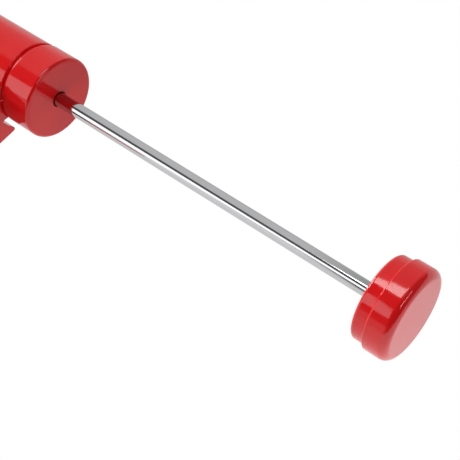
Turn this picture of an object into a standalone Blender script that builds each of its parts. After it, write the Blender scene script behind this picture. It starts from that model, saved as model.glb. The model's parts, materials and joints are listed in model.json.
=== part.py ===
"""A closed-barrel caulking gun, lying on its right side, as separate pieces.

Gun frame: +X runs back from the nozzle to the pull knob, +Y is the top of the gun as it is held,
and +Z is its left side. The plunger rod's axis is the X axis, and x = 0 is the rear cap's back face.
The empty "gun" holds that frame, so that the world's origin lies under the middle of the gun.
Run with: blender --background --python part.py
"""

import math

import bmesh
import bpy
from mathutils import Matrix, Vector

mm = 0.001
GAP = 0.3 * mm
WALL = 2.8 * mm
ROUND = 36
SMALL_ROUND = 24

# Plunger rod and knob
ROD_RADIUS = 4.7 * mm
ROD_BORE = 5.1 * mm
ROD_TAIL_RADIUS = 3.7 * mm
ROD_TAIL_START = -118.0 * mm
ROD_FRONT = -150.0 * mm
KNOB_FRONT = 249.1 * mm
KNOB_SPLIT = 257.9 * mm
KNOB_REAR = 273.2 * mm
KNOB_BASE_RADIUS = 26.6 * mm
KNOB_RADIUS = 28.6 * mm
KNOB_CAVITY_RADIUS = 24.5 * mm
KNOB_EDGE = 5.1 * mm
KNOB_STUD_RADIUS = 3.0 * mm
KNOB_BASE_EDGE = 2.0 * mm

# Rear cap and housing
CAP_RADIUS = 28.0 * mm
CAP_FRONT = -23.2 * mm
CAP_WALL = 3.0 * mm
CAP_HOLE = 5.35 * mm
CAP_EDGE = 2.5 * mm
NECK_RADIUS = 24.6 * mm
NECK_REAR = -8.3 * mm
GROOVE_RADIUS = 25.4 * mm
HOUSING_RADIUS = 27.6 * mm
HOUSING_BORE = 25.0 * mm
HOUSING_REAR = -26.0 * mm
HOUSING_FRONT = -106.0 * mm
RIB_RADIUS = 22.6 * mm
RIB_THICKNESS = 2.2 * mm
BUSH_RADIUS = 7.0 * mm
BUSH_FLANGE_RADIUS = 11.0 * mm
BUSH_SEAT_DEPTH = 3.5 * mm

# Handle: its head hangs under the housing on a narrow web
HEAD_REAR = -24.6 * mm
HEAD_FRONT = -92.0 * mm
WEB_HALF_WIDTH = 8.0 * mm
HEAD_HALF_WIDTH = 22.0 * mm
SLOT_RADIUS = 32.0 * mm
HEAD_SIDE_DROP = 45.0 * mm
HEAD_DROP = 58.0 * mm
HEAD_TAPER = 4.5 * mm
WEB_TOP_DROP = 25.5 * mm
PIN_BOSS_RADIUS = 5.5 * mm
GRIP_TOP_DROP = 50.0 * mm
GRIP_DROP = 150.0 * mm
# (drop below the axis, centre x, half depth, half width)
GRIP_SECTIONS = (
    (50 * mm, -42.0 * mm, 17.2 * mm, 17.5 * mm),
    (62 * mm, -41.9 * mm, 17.0 * mm, 17.0 * mm),
    (80 * mm, -40.0 * mm, 16.2 * mm, 16.5 * mm),
    (105 * mm, -36.0 * mm, 17.2 * mm, 16.8 * mm),
    (130 * mm, -31.0 * mm, 17.6 * mm, 17.0 * mm),
    (150 * mm, -26.5 * mm, 18.5 * mm, 17.5 * mm),
)
# (x, drop, height of the screw head's top above the middle plane)
SHELL_SCREWS = (
    (-82 * mm, 40 * mm, 21.6 * mm),
    (-46 * mm, 50 * mm, 19.8 * mm),
    (-36 * mm, 95 * mm, 16.2 * mm),
    (-30 * mm, 138 * mm, 16.6 * mm),
)
SCREW_HEAD_RADIUS = 3.2 * mm
SCREW_HEAD_HEIGHT = 2.0 * mm
SCREW_RADIUS = 1.4 * mm
SCREW_TIP = -13.0 * mm
BOSS_RADIUS = 4.2 * mm

# Barrel
COLLAR_REAR = -92.0 * mm
COLLAR_FRONT = -122.0 * mm
COLLAR_OUTER = 24.7 * mm
COLLAR_INNER = 21.0 * mm
COLLAR_WALL = 3.0 * mm
BARREL_RADIUS = 27.6 * mm
BARREL_BORE = 25.5 * mm
BARREL_FRONT = -360.0 * mm
RIVET_X = -114.0 * mm
RIVET_RADIUS = 1.6 * mm
RIVET_HEAD_RADIUS = 3.2 * mm

# Front ring and nozzle
RING_RADIUS = 31.0 * mm
RING_ROOT_RADIUS = 29.9 * mm
RING_EDGE = 1.2 * mm
RING_FLUTES = 24
RING_REAR = -346.0 * mm
RING_LIP_RADIUS = 20.0 * mm
FLANGE_RADIUS = 25.0 * mm
FLANGE_THICKNESS = 2.9 * mm
SEAL_THICKNESS = 1.5 * mm
SEAL_RADIUS = 25.3 * mm
SEAL_BORE = 17.0 * mm
LIP_THICKNESS = 3.2 * mm
NOZZLE_LENGTH = 100.0 * mm
NOZZLE_ROOT_RADIUS = 12.0 * mm
NOZZLE_TIP_RADIUS = 5.2 * mm
NOZZLE_ROOT_BORE = 9.5 * mm
NOZZLE_TIP_BORE = 3.2 * mm

# Trigger: its pivot lies in the handle's head, and its nose stands behind the drive plates
TRIGGER_PIVOT = (-64.0 * mm, 40.0 * mm)
NOSE_REACH = 24.45 * mm
NOSE_ANGLE = math.radians(11)
NOSE_RADIUS = 3.5 * mm
TRIGGER_ANGLE = math.radians(24)
TRIGGER_LENGTH = 84.0 * mm
TRIGGER_HALF_THICKNESS = 2.0 * mm
PIN_RADIUS = 2.5 * mm
HUB_RADIUS = 5.4 * mm
ARM_ROOT_RADIUS = 4.6 * mm
HUB_HALF_WIDTH = 5.4 * mm
BLADE_START = 35.0 * mm
BLADE_END = 94.0 * mm
BLADE_HALF_WIDTH = 9.0 * mm
BLADE_HALF_DEPTH = 6.0 * mm
ARM_RADIUS = 3.6 * mm
BLADE_RIVETS = (48.0 * mm, 76.0 * mm)

# Drive plates and springs
PLATE_THICKNESS = 3.0 * mm
PLATE_HALF_WIDTH = 12.0 * mm
PLATE_TOP = 15.0 * mm
PLATE_BOTTOM = 19.0 * mm
DRIVE_SPRING_RADIUS = 8.5 * mm
DRIVE_WIRE_RADIUS = 0.9 * mm
DRIVE_SPRING_TURNS = 6
SUPPORT_REAR = -47.0 * mm
SUPPORT_THICKNESS = 3.0 * mm
SUPPORT_RADIUS = 24.6 * mm

# Release plate: it hangs from its top end, tilted back by its spring
RELEASE_PIVOT = (-36.0 * mm, -21.5 * mm)
RELEASE_TILT = math.radians(5)
RELEASE_THICKNESS = 2.4 * mm
RELEASE_HOLE = 5.15 * mm
RELEASE_LENGTH = 80.4 * mm
RELEASE_TONGUE_LENGTH = 15.5 * mm
RELEASE_TONGUE_HALF_WIDTH = 4.7 * mm
PAD_FRONT = 12.2 * mm
PAD_DEPTH = 6.0 * mm
PAD_HALF_WIDTH = 8.0 * mm
PAD_ENDS = (72.0 * mm, 90.0 * mm)
RELEASE_SPRING_REAR = -36.4 * mm
RELEASE_SPRING_RADIUS = 7.2 * mm
RELEASE_WIRE_RADIUS = 0.6 * mm
RELEASE_SPRING_TURNS = 4

# Piston
PISTON_PLATE_RADIUS = 23.0 * mm
PISTON_CUP_RADIUS = 25.1 * mm
PISTON_PLATE_THICKNESS = 1.5 * mm
PISTON_REAR = -124.5 * mm
PISTON_CUP_LENGTH = 13.7 * mm
NUT_HEIGHT = 4.5 * mm
NUT_RADIUS = 7.5 * mm

NOZZLE_TIP = BARREL_FRONT - 2 * GAP - SEAL_THICKNESS - FLANGE_THICKNESS - NOZZLE_LENGTH
MIDDLE_X = (NOZZLE_TIP + KNOB_REAR) / 2
MIDDLE_Y = (RING_RADIUS - GRIP_DROP) / 2


# Scene, materials and frames


def clear_scene():
    for thing in list(bpy.data.objects):
        bpy.data.objects.remove(thing)


def make_material(name, colour, roughness, metallic=0.0):
    material = bpy.data.materials.new(name)
    material.use_nodes = True
    shader = material.node_tree.nodes["Principled BSDF"]
    shader.inputs["Base Color"].default_value = (*colour, 1)
    shader.inputs["Roughness"].default_value = roughness
    shader.inputs["Metallic"].default_value = metallic
    return material


def make_empty(name, location, parent=None, rotation=(0, 0, 0)):
    empty = bpy.data.objects.new(name, None)
    empty.location = location
    empty.rotation_euler = rotation
    empty.parent = parent
    bpy.context.scene.collection.objects.link(empty)
    return empty


clear_scene()
RED_PLASTIC = make_material("red_plastic", (0.55, 0.01, 0.01), 0.2)
RED_PAINT = make_material("red_paint", (0.52, 0.01, 0.01), 0.18)
CHROME = make_material("chrome", (0.8, 0.8, 0.8), 0.08, 1.0)
STEEL = make_material("zinc_steel", (0.55, 0.55, 0.53), 0.35, 1.0)
BLACK_PLASTIC = make_material("black_plastic", (0.02, 0.02, 0.02), 0.45)
RUBBER = make_material("black_rubber", (0.03, 0.03, 0.03), 0.7)
NATURAL_PLASTIC = make_material("natural_plastic", (0.75, 0.74, 0.7), 0.4)
GUN = make_empty("gun", (-MIDDLE_X, -MIDDLE_Y, RING_RADIUS))


# Shapes


def arc(centre, radius, start, end, steps):
    """Points on an arc, from the start angle to the end angle in degrees."""
    angles = [math.radians(start + (end - start) * i / steps) for i in range(steps + 1)]
    return [
        (centre[0] + radius * math.cos(a), centre[1] + radius * math.sin(a)) for a in angles
    ]


def place(name, mesh, material, parent=GUN):
    """Turns a bmesh into an object with smooth round faces and sharp edges."""
    bmesh.ops.recalc_face_normals(mesh, faces=mesh.faces)
    data = bpy.data.meshes.new(name)
    mesh.to_mesh(data)
    mesh.free()
    data.shade_smooth()
    data.set_sharp_from_angle(angle=math.radians(35))
    data.materials.append(material)
    thing = bpy.data.objects.new(name, data)
    thing.parent = parent
    bpy.context.scene.collection.objects.link(thing)
    return thing


def turned(name, outline, material, segments=ROUND, parent=GUN):
    """A solid turned about the X axis from a closed outline of (x, radius) points."""
    mesh = bmesh.new()
    rings = []
    for x, radius in outline:
        if radius == 0:
            rings.append([mesh.verts.new((x, 0, 0))])
            continue
        angles = [2 * math.pi * i / segments for i in range(segments)]
        rings.append(
            [mesh.verts.new((x, radius * math.cos(a), radius * math.sin(a))) for a in angles]
        )
    for ring, after in zip(rings, rings[1:] + rings[:1]):
        if len(ring) == 1 and len(after) == 1:
            continue
        for i in range(segments):
            j = (i + 1) % segments
            corners = (
                ring[i % len(ring)],
                ring[j % len(ring)],
                after[j % len(after)],
                after[i % len(after)],
            )
            mesh.faces.new(tuple(dict.fromkeys(corners)))
    return place(name, mesh, material, parent)


def lofted(name, sections, material, parent=GUN):
    """A solid through rings of as many points each, closed by a flat face at both ends."""
    mesh = bmesh.new()
    rings = [[mesh.verts.new(point) for point in section] for section in sections]
    for ring, after in zip(rings, rings[1:]):
        for i in range(len(ring)):
            j = (i + 1) % len(ring)
            mesh.faces.new((ring[i], ring[j], after[j], after[i]))
    mesh.faces.new(rings[0])
    mesh.faces.new(rings[-1])
    return place(name, mesh, material, parent)


def extruded_x(name, outline, low, high, material, parent=GUN):
    """An outline of (z, drop) points, drawn out along X."""
    sections = [[(x, -drop, z) for z, drop in outline] for x in (low, high)]
    return lofted(name, sections, material, parent)


def extruded_z(name, outline, low, high, material, parent=GUN):
    """An outline of (x, y) points, drawn out along Z."""
    sections = [[(x, y, z) for x, y in outline] for z in (low, high)]
    return lofted(name, sections, material, parent)


def box(name, low, high, material, parent=GUN):
    corners = ((low[0], low[1]), (high[0], low[1]), (high[0], high[1]), (low[0], high[1]))
    return extruded_z(name, corners, low[2], high[2], material, parent)


def standing(name, outline, centre, material, segments=SMALL_ROUND, parent=GUN):
    """A solid turned about an axis along Z from a closed outline of (z, radius) points."""
    thing = turned(name, outline, material, segments, parent)
    thing.data.transform(Matrix.Rotation(math.radians(-90), 4, "Y"))
    thing.data.transform(Matrix.Translation((centre[0], -centre[1], 0)))
    return thing


def rod_outline(low, high, radius):
    return [(low, 0), (low, radius), (high, radius), (high, 0)]


def tube_outline(low, high, outer, inner):
    return [(low, inner), (low, outer), (high, outer), (high, inner)]


def coil(name, low, high, radius, wire_radius, turns, material):
    """A compression spring around the X axis, as one swept wire."""
    per_turn = 12
    sides = 5
    steps = turns * per_turn
    run = (high - low) - 2 * wire_radius
    sections = []
    for i in range(steps + 1):
        angle = 2 * math.pi * i / per_turn
        centre = Vector((low + wire_radius + run * i / steps, 0, 0))
        outward = Vector((0, math.cos(angle), math.sin(angle)))
        ring = []
        for k in range(sides):
            turn = 2 * math.pi * k / sides
            lift = Vector((wire_radius * math.sin(turn), 0, 0))
            ring.append(centre + outward * (radius + wire_radius * math.cos(turn)) + lift)
        sections.append(ring)
    return lofted(name, sections, material)


def hexagon_nut(name, low, high, radius, bore, material):
    outline = [
        (radius * math.cos(math.radians(60 * i)), radius * math.sin(math.radians(60 * i)))
        for i in range(6)
    ]
    nut = extruded_x(name, outline, low, high, material)
    hole = turned(
        name + "_hole", rod_outline(low - mm, high + mm, bore), material, SMALL_ROUND
    )
    combine(nut, "DIFFERENCE", hole)
    return nut


def combine(target, operation, *helpers):
    """Adds Boolean modifiers to the target, and marks each helper as not part of the gun."""
    for helper in helpers:
        modifier = target.modifiers.new(helper.name, "BOOLEAN")
        modifier.operation = operation
        modifier.object = helper
        helper.hide_render = True
        helper.display_type = "WIRE"


# Housing and handle shells


def head_outline(half_web, half_width, slot_radius, side_drop, bottom_drop, top_drop, taper):
    """Half web, concave shoulder and side of the handle's head, mirrored about the middle plane."""
    web_corner = math.degrees(math.acos(half_web / slot_radius))
    tip = 0.845 * half_width
    tip_corner = math.degrees(math.acos(tip / slot_radius))
    tip_drop = math.sqrt(slot_radius**2 - tip**2)
    right = [(half_web, top_drop)]
    right += arc((0, 0), slot_radius, web_corner, tip_corner, 8)
    right += [
        (0.93 * half_width, tip_drop - 0.2 * mm),
        (0.985 * half_width, tip_drop + 1.2 * mm),
        (half_width, tip_drop + 2.8 * mm),
        (half_width, side_drop),
        (half_width - taper, bottom_drop),
    ]
    return right + [(-z, drop) for z, drop in reversed(right)]


def grip_sections(inset, top_extra):
    """Rounded sections of the grip, pulled in by the inset."""
    power = 2.6
    count = 28
    sections = []
    for drop, centre_x, half_depth, half_width in GRIP_SECTIONS:
        if drop == GRIP_TOP_DROP:
            drop -= top_extra
        if drop == GRIP_DROP:
            drop -= inset
        ring = []
        for i in range(count):
            angle = 2 * math.pi * i / count
            across = math.copysign(abs(math.cos(angle)) ** (2 / power), math.cos(angle))
            side = math.copysign(abs(math.sin(angle)) ** (2 / power), math.sin(angle))
            ring.append(
                (centre_x + across * (half_depth - inset), -drop, side * (half_width - inset))
            )
        sections.append(ring)
    return sections


def housing_outline():
    """The housing's wall with its rear neck, its groove and the two ribs that hold the rod support."""
    support_front = SUPPORT_REAR - SUPPORT_THICKNESS
    neck_bore = NECK_RADIUS - WALL
    return [
        (HOUSING_FRONT, HOUSING_RADIUS),
        (HOUSING_REAR, HOUSING_RADIUS),
        (HOUSING_REAR, GROOVE_RADIUS),
        (CAP_FRONT - GAP, GROOVE_RADIUS),
        (CAP_FRONT - GAP, NECK_RADIUS),
        (NECK_REAR, NECK_RADIUS),
        (NECK_REAR, BUSH_RADIUS + GAP),
        (NECK_REAR - BUSH_SEAT_DEPTH, BUSH_RADIUS + GAP),
        (NECK_REAR - BUSH_SEAT_DEPTH, neck_bore),
        (HOUSING_REAR, neck_bore),
        (HOUSING_REAR - WALL, HOUSING_BORE),
        (SUPPORT_REAR + GAP + RIB_THICKNESS, HOUSING_BORE),
        (SUPPORT_REAR + GAP + RIB_THICKNESS, RIB_RADIUS),
        (SUPPORT_REAR + GAP, RIB_RADIUS),
        (SUPPORT_REAR + GAP, HOUSING_BORE),
        (support_front - GAP, HOUSING_BORE),
        (support_front - GAP, RIB_RADIUS),
        (support_front - GAP - RIB_THICKNESS, RIB_RADIUS),
        (support_front - GAP - RIB_THICKNESS, HOUSING_BORE),
        (HOUSING_FRONT, HOUSING_BORE),
    ]


def shell_cutters():
    """The shapes that both shells are made with: (operation, helper), in order."""
    outline = head_outline(
        WEB_HALF_WIDTH,
        HEAD_HALF_WIDTH,
        SLOT_RADIUS,
        HEAD_SIDE_DROP,
        HEAD_DROP,
        WEB_TOP_DROP,
        HEAD_TAPER,
    )
    hollow = head_outline(
        WEB_HALF_WIDTH - WALL + 0.3 * mm,
        HEAD_HALF_WIDTH - WALL,
        SLOT_RADIUS + WALL,
        HEAD_SIDE_DROP - mm,
        HEAD_DROP - WALL,
        18 * mm,
        4.4 * mm,
    )
    steps = [
        ("UNION", extruded_x("head_block", outline, HEAD_FRONT, HEAD_REAR, RED_PLASTIC)),
        ("UNION", lofted("grip_block", grip_sections(0, 0), RED_PLASTIC)),
        (
            "DIFFERENCE",
            extruded_x("head_hollow", hollow, HEAD_FRONT + WALL, HEAD_REAR - WALL, RED_PLASTIC),
        ),
        ("DIFFERENCE", lofted("grip_hollow", grip_sections(WALL, 3 * mm), RED_PLASTIC)),
    ]
    for i, (x, drop, head_top) in enumerate(SHELL_SCREWS):
        end = head_top - 0.8 * mm
        steps.append(
            ("UNION", standing(f"boss_{i}", rod_outline(-end, end, BOSS_RADIUS), (x, drop), RED_PLASTIC))
        )
    web_root = box(
        "web_root",
        (HOUSING_REAR - 0.5 * mm, -26.6 * mm, -WEB_HALF_WIDTH),
        (HEAD_REAR, -22.6 * mm, WEB_HALF_WIDTH),
        RED_PLASTIC,
    )
    steps.append(("UNION", web_root))
    for side in (-1, 1):
        ends = sorted((side * (HUB_HALF_WIDTH + 2 * GAP), side * 20.5 * mm))
        boss = standing(
            f"pin_boss_{side + 1}", rod_outline(*ends, PIN_BOSS_RADIUS), TRIGGER_PIVOT, RED_PLASTIC
        )
        steps.append(("UNION", boss))
    for i, x in enumerate((-40.5 * mm, -33.6 * mm)):
        rib = box(
            f"pivot_rib_{i}",
            (x, 18 * mm, -8 * mm),
            (x + 1.8 * mm, 26 * mm, 8 * mm),
            RED_PLASTIC,
        )
        steps.append(("UNION", rib))
    for i, (x, drop, head_top) in enumerate(SHELL_SCREWS):
        seat = head_top - SCREW_HEAD_HEIGHT - GAP
        hole = [
            (SCREW_TIP - mm, 0),
            (SCREW_TIP - mm, SCREW_RADIUS + GAP),
            (seat, SCREW_RADIUS + GAP),
            (seat, SCREW_HEAD_RADIUS + GAP),
            (head_top + 5 * mm, SCREW_HEAD_RADIUS + GAP),
            (head_top + 5 * mm, 0),
        ]
        steps.append(("DIFFERENCE", standing(f"screw_hole_{i}", hole, (x, drop), RED_PLASTIC)))
    pin_hole = standing(
        "pin_hole",
        rod_outline(-18.8 * mm, 18.8 * mm, PIN_RADIUS + GAP),
        TRIGGER_PIVOT,
        RED_PLASTIC,
    )
    trigger_slot = box(
        "trigger_slot", (-81 * mm, -60 * mm, -6 * mm), (-59.2 * mm, -50 * mm, 6 * mm), RED_PLASTIC
    )
    release_slot = box(
        "release_slot",
        (-32 * mm, -61.5 * mm, -5.6 * mm),
        (-20 * mm, -53 * mm, 5.6 * mm),
        RED_PLASTIC,
    )
    steps += [
        ("DIFFERENCE", pin_hole),
        ("DIFFERENCE", trigger_slot),
        ("DIFFERENCE", release_slot),
    ]
    return steps


def body_shells():
    """The housing and handle, moulded as a left and a right half that meet on the middle plane."""
    steps = shell_cutters()
    for side, low, high in (("left", GAP / 2, 40 * mm), ("right", -40 * mm, -GAP / 2)):
        shell = turned("body_shell_" + side, housing_outline(), RED_PLASTIC)
        for operation, helper in steps:
            combine(shell, operation, helper)
        half = box("half_" + side, (-200 * mm, -200 * mm, low), (100 * mm, 100 * mm, high), RED_PLASTIC)
        combine(shell, "INTERSECT", half)


def shell_screws():
    for i, (x, drop, head_top) in enumerate(SHELL_SCREWS):
        seat = head_top - SCREW_HEAD_HEIGHT
        outline = [
            (SCREW_TIP, 0),
            (SCREW_TIP + mm, SCREW_RADIUS),
            (seat, SCREW_RADIUS),
            (seat, SCREW_HEAD_RADIUS),
            (head_top - 0.6 * mm, SCREW_HEAD_RADIUS),
            (head_top, 0.75 * SCREW_HEAD_RADIUS),
            (head_top, 0),
        ]
        screw = standing(f"shell_screw_{i + 1}", outline, (x, drop), STEEL, 16)
        for turn in (0, 90):
            recess = box(
                f"recess_{i}_{turn}",
                (-2 * mm, -0.45 * mm, -mm),
                (2 * mm, 0.45 * mm, mm),
                STEEL,
            )
            recess.data.transform(Matrix.Rotation(math.radians(turn), 4, "Z"))
            recess.data.transform(Matrix.Translation((x, -drop, head_top)))
            combine(screw, "DIFFERENCE", recess)


def rear_cap():
    edge = arc((-CAP_EDGE, CAP_RADIUS - CAP_EDGE), CAP_EDGE, 90, 0, 4)
    outline = [
        (CAP_FRONT, HOUSING_BORE),
        (CAP_FRONT, CAP_RADIUS - 0.8 * mm),
        (CAP_FRONT + 0.3 * mm, CAP_RADIUS - 0.25 * mm),
        (CAP_FRONT + 0.9 * mm, CAP_RADIUS),
        *edge,
        (0, CAP_HOLE),
        (-CAP_WALL, CAP_HOLE),
        (-CAP_WALL, HOUSING_BORE),
    ]
    turned("rear_cap", outline, RED_PLASTIC)
    bush = [
        (NECK_REAR - 6 * mm, ROD_BORE),
        (NECK_REAR - 6 * mm, BUSH_RADIUS),
        (NECK_REAR + GAP, BUSH_RADIUS),
        (NECK_REAR + GAP, BUSH_FLANGE_RADIUS),
        (-CAP_WALL - GAP, BUSH_FLANGE_RADIUS),
        (-CAP_WALL - GAP, ROD_BORE),
    ]
    turned("rear_bush", bush, BLACK_PLASTIC, SMALL_ROUND)


def rod_support():
    front = SUPPORT_REAR - SUPPORT_THICKNESS
    turned("rod_support", tube_outline(front, SUPPORT_REAR, SUPPORT_RADIUS, ROD_BORE), STEEL)


# Barrel, front ring and nozzle


def radial_hole(name, angle, radius):
    """A cutter along a radius of the barrel, at the rivets' place."""
    hole = turned(name, rod_outline(15 * mm, 35 * mm, radius), STEEL, 12)
    hole.data.transform(Matrix.Rotation(math.radians(90), 4, "Z"))
    hole.data.transform(Matrix.Translation((RIVET_X, 0, 0)))
    hole.data.transform(Matrix.Rotation(angle, 4, "X"))
    return hole


def barrel():
    collar_outline = [
        (COLLAR_FRONT, COLLAR_INNER),
        (COLLAR_FRONT, COLLAR_OUTER),
        (COLLAR_REAR, COLLAR_OUTER),
        (COLLAR_REAR, ROD_BORE),
        (COLLAR_REAR - COLLAR_WALL, ROD_BORE),
        (COLLAR_REAR - COLLAR_WALL, COLLAR_INNER),
    ]
    collar = turned("barrel_collar", collar_outline, STEEL)
    rear = HOUSING_FRONT - GAP
    tube = turned(
        "barrel_tube", tube_outline(BARREL_FRONT, rear, BARREL_RADIUS, BARREL_BORE), RED_PAINT
    )
    for i in range(3):
        angle = math.radians(90 + 120 * i)
        hole = radial_hole(f"rivet_hole_{i}", angle, RIVET_RADIUS + GAP)
        combine(tube, "DIFFERENCE", hole)
        combine(collar, "DIFFERENCE", hole)
        outline = [
            (COLLAR_INNER + 0.5 * mm, 0),
            (COLLAR_INNER + 0.5 * mm, RIVET_RADIUS),
            (BARREL_RADIUS + GAP, RIVET_RADIUS),
            (BARREL_RADIUS + GAP, RIVET_HEAD_RADIUS),
            (BARREL_RADIUS + GAP + 0.5 * mm, RIVET_HEAD_RADIUS * 0.9),
            (BARREL_RADIUS + GAP + mm, RIVET_HEAD_RADIUS * 0.4),
            (BARREL_RADIUS + GAP + 1.1 * mm, 0),
        ]
        rivet = turned(f"barrel_rivet_{i + 1}", outline, STEEL, 12)
        rivet.data.transform(Matrix.Rotation(math.radians(90), 4, "Z"))
        rivet.data.transform(Matrix.Translation((RIVET_X, 0, 0)))
        rivet.data.transform(Matrix.Rotation(angle, 4, "X"))


def fluted(radius, root, flutes, x):
    """A ring of points with shallow grooves between wide ribs."""
    ring = []
    for i in range(4 * flutes):
        angle = 2 * math.pi * i / (4 * flutes)
        reach = root if i % 4 == 2 else radius
        ring.append((x, reach * math.cos(angle), reach * math.sin(angle)))
    return ring


def front_end():
    seal_rear = BARREL_FRONT - GAP
    seal_front = seal_rear - SEAL_THICKNESS
    flange_rear = seal_front - GAP
    flange_front = flange_rear - FLANGE_THICKNESS
    lip_rear = flange_front - GAP
    ring_front = lip_rear - LIP_THICKNESS
    turned("nozzle_seal", tube_outline(seal_front, seal_rear, SEAL_RADIUS, SEAL_BORE), RUBBER)
    shoulder = flange_front - 4 * mm
    tip = flange_front - NOZZLE_LENGTH
    nozzle = [
        (flange_rear, NOZZLE_ROOT_BORE),
        (flange_rear, FLANGE_RADIUS),
        (flange_front, FLANGE_RADIUS),
        (flange_front, 16 * mm),
        (shoulder, NOZZLE_ROOT_RADIUS),
        (tip, NOZZLE_TIP_RADIUS),
        (tip, NOZZLE_TIP_BORE),
        (shoulder, NOZZLE_ROOT_BORE),
    ]
    turned("nozzle", nozzle, NATURAL_PLASTIC, SMALL_ROUND)
    body = (RING_RADIUS, RING_ROOT_RADIUS, RING_FLUTES)
    inner = (RING_RADIUS - RING_EDGE, RING_ROOT_RADIUS - RING_EDGE, RING_FLUTES)
    sections = [
        fluted(*inner, RING_REAR),
        fluted(*body, RING_REAR - RING_EDGE),
        fluted(*body, ring_front + RING_EDGE),
        fluted(*inner, ring_front),
    ]
    ring = lofted("front_ring", sections, RED_PLASTIC)
    opening = turned(
        "ring_opening",
        [
            (ring_front - mm, 0),
            (ring_front - mm, RING_LIP_RADIUS),
            (lip_rear, RING_LIP_RADIUS),
            (lip_rear, BARREL_RADIUS + GAP),
            (RING_REAR + mm, BARREL_RADIUS + GAP),
            (RING_REAR + mm, 0),
        ],
        RED_PLASTIC,
    )
    combine(ring, "DIFFERENCE", opening)


# Plunger


def piston():
    front = PISTON_REAR - PISTON_PLATE_THICKNESS
    bore = ROD_TAIL_RADIUS + GAP
    turned(
        "piston_plate_back", tube_outline(front, PISTON_REAR, PISTON_PLATE_RADIUS, bore), STEEL
    )
    cup_rear = front - GAP
    cup_front = cup_rear - PISTON_CUP_LENGTH
    cup = [
        (cup_rear, bore),
        (cup_rear, PISTON_CUP_RADIUS - 1.6 * mm),
        (cup_rear - 3 * mm, PISTON_CUP_RADIUS - 0.6 * mm),
        (cup_front, PISTON_CUP_RADIUS),
        (cup_front, PISTON_CUP_RADIUS - 1.6 * mm),
        (cup_rear - 8 * mm, PISTON_PLATE_RADIUS - 2 * mm),
        (cup_rear - 8 * mm, bore),
    ]
    turned("piston_cup", cup, BLACK_PLASTIC)
    plate_rear = cup_rear - 8 * mm - GAP
    plate_front = plate_rear - PISTON_PLATE_THICKNESS
    turned(
        "piston_plate_front",
        tube_outline(plate_front, plate_rear, PISTON_PLATE_RADIUS - 3 * mm, bore),
        STEEL,
    )
    front_nut = plate_front - GAP
    hexagon_nut("piston_nut_front", front_nut - NUT_HEIGHT, front_nut, NUT_RADIUS, bore, STEEL)
    back_nut = PISTON_REAR + GAP
    hexagon_nut("piston_nut_back", back_nut, back_nut + NUT_HEIGHT, NUT_RADIUS, bore, STEEL)


def rod_and_knob():
    shoulder = KNOB_SPLIT - 3.2 * mm
    stud_end = KNOB_SPLIT + 8 * mm
    rod = [
        (ROD_FRONT, 0),
        (ROD_FRONT, ROD_TAIL_RADIUS - 0.7 * mm),
        (ROD_FRONT + mm, ROD_TAIL_RADIUS),
        (ROD_TAIL_START, ROD_TAIL_RADIUS),
        (ROD_TAIL_START, ROD_RADIUS),
        (shoulder, ROD_RADIUS),
        (shoulder, KNOB_STUD_RADIUS),
        (stud_end, KNOB_STUD_RADIUS),
        (stud_end, 0),
    ]
    turned("plunger_rod", rod, CHROME, SMALL_ROUND)
    base_rear = KNOB_SPLIT - GAP
    edge_x = KNOB_FRONT + KNOB_BASE_EDGE
    edge_radius = KNOB_BASE_RADIUS - KNOB_BASE_EDGE
    base = [
        (KNOB_FRONT, ROD_RADIUS + GAP),
        *arc((edge_x, edge_radius), KNOB_BASE_EDGE, 180, 90, 3),
        (base_rear, KNOB_BASE_RADIUS),
        (base_rear, KNOB_CAVITY_RADIUS - GAP),
        (base_rear + 4 * mm, KNOB_CAVITY_RADIUS - GAP),
        (base_rear + 4 * mm, 20 * mm),
        (base_rear, 20 * mm),
        (base_rear, KNOB_STUD_RADIUS + GAP),
        (shoulder + GAP, KNOB_STUD_RADIUS + GAP),
        (shoulder + GAP, ROD_RADIUS + GAP),
    ]
    turned("knob_base", base, RED_PLASTIC)
    cavity_end = KNOB_SPLIT + 10 * mm
    cap = [
        (KNOB_SPLIT, KNOB_CAVITY_RADIUS),
        (KNOB_SPLIT, KNOB_RADIUS - 0.8 * mm),
        (KNOB_SPLIT + 0.8 * mm, KNOB_RADIUS),
        *arc((KNOB_REAR - KNOB_EDGE, KNOB_RADIUS - KNOB_EDGE), KNOB_EDGE, 90, 0, 6),
        (KNOB_REAR, 0),
        (cavity_end, 0),
        (cavity_end, 18 * mm),
        (cavity_end - 3 * mm, KNOB_CAVITY_RADIUS),
    ]
    turned("knob_cap", cap, RED_PLASTIC)
    hexagon_nut(
        "knob_nut",
        KNOB_SPLIT,
        KNOB_SPLIT + 5 * mm,
        6.5 * mm,
        KNOB_STUD_RADIUS + GAP,
        STEEL,
    )


# Trigger and drive


def capsule(name, start, start_radius, end, end_radius, half_width, parent):
    """A flat link with round ends between two points of the XY plane."""
    run = Vector(end) - Vector(start)
    heading = math.degrees(math.atan2(run.y, run.x))
    lean = math.degrees(math.asin((start_radius - end_radius) / run.length))
    outline = arc(end, end_radius, heading - 90 + lean, heading + 90 - lean, 8)
    outline += arc(start, start_radius, heading + 90 - lean, heading + 270 + lean, 10)
    return extruded_z(name, outline, -half_width, half_width, STEEL, parent)


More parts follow.
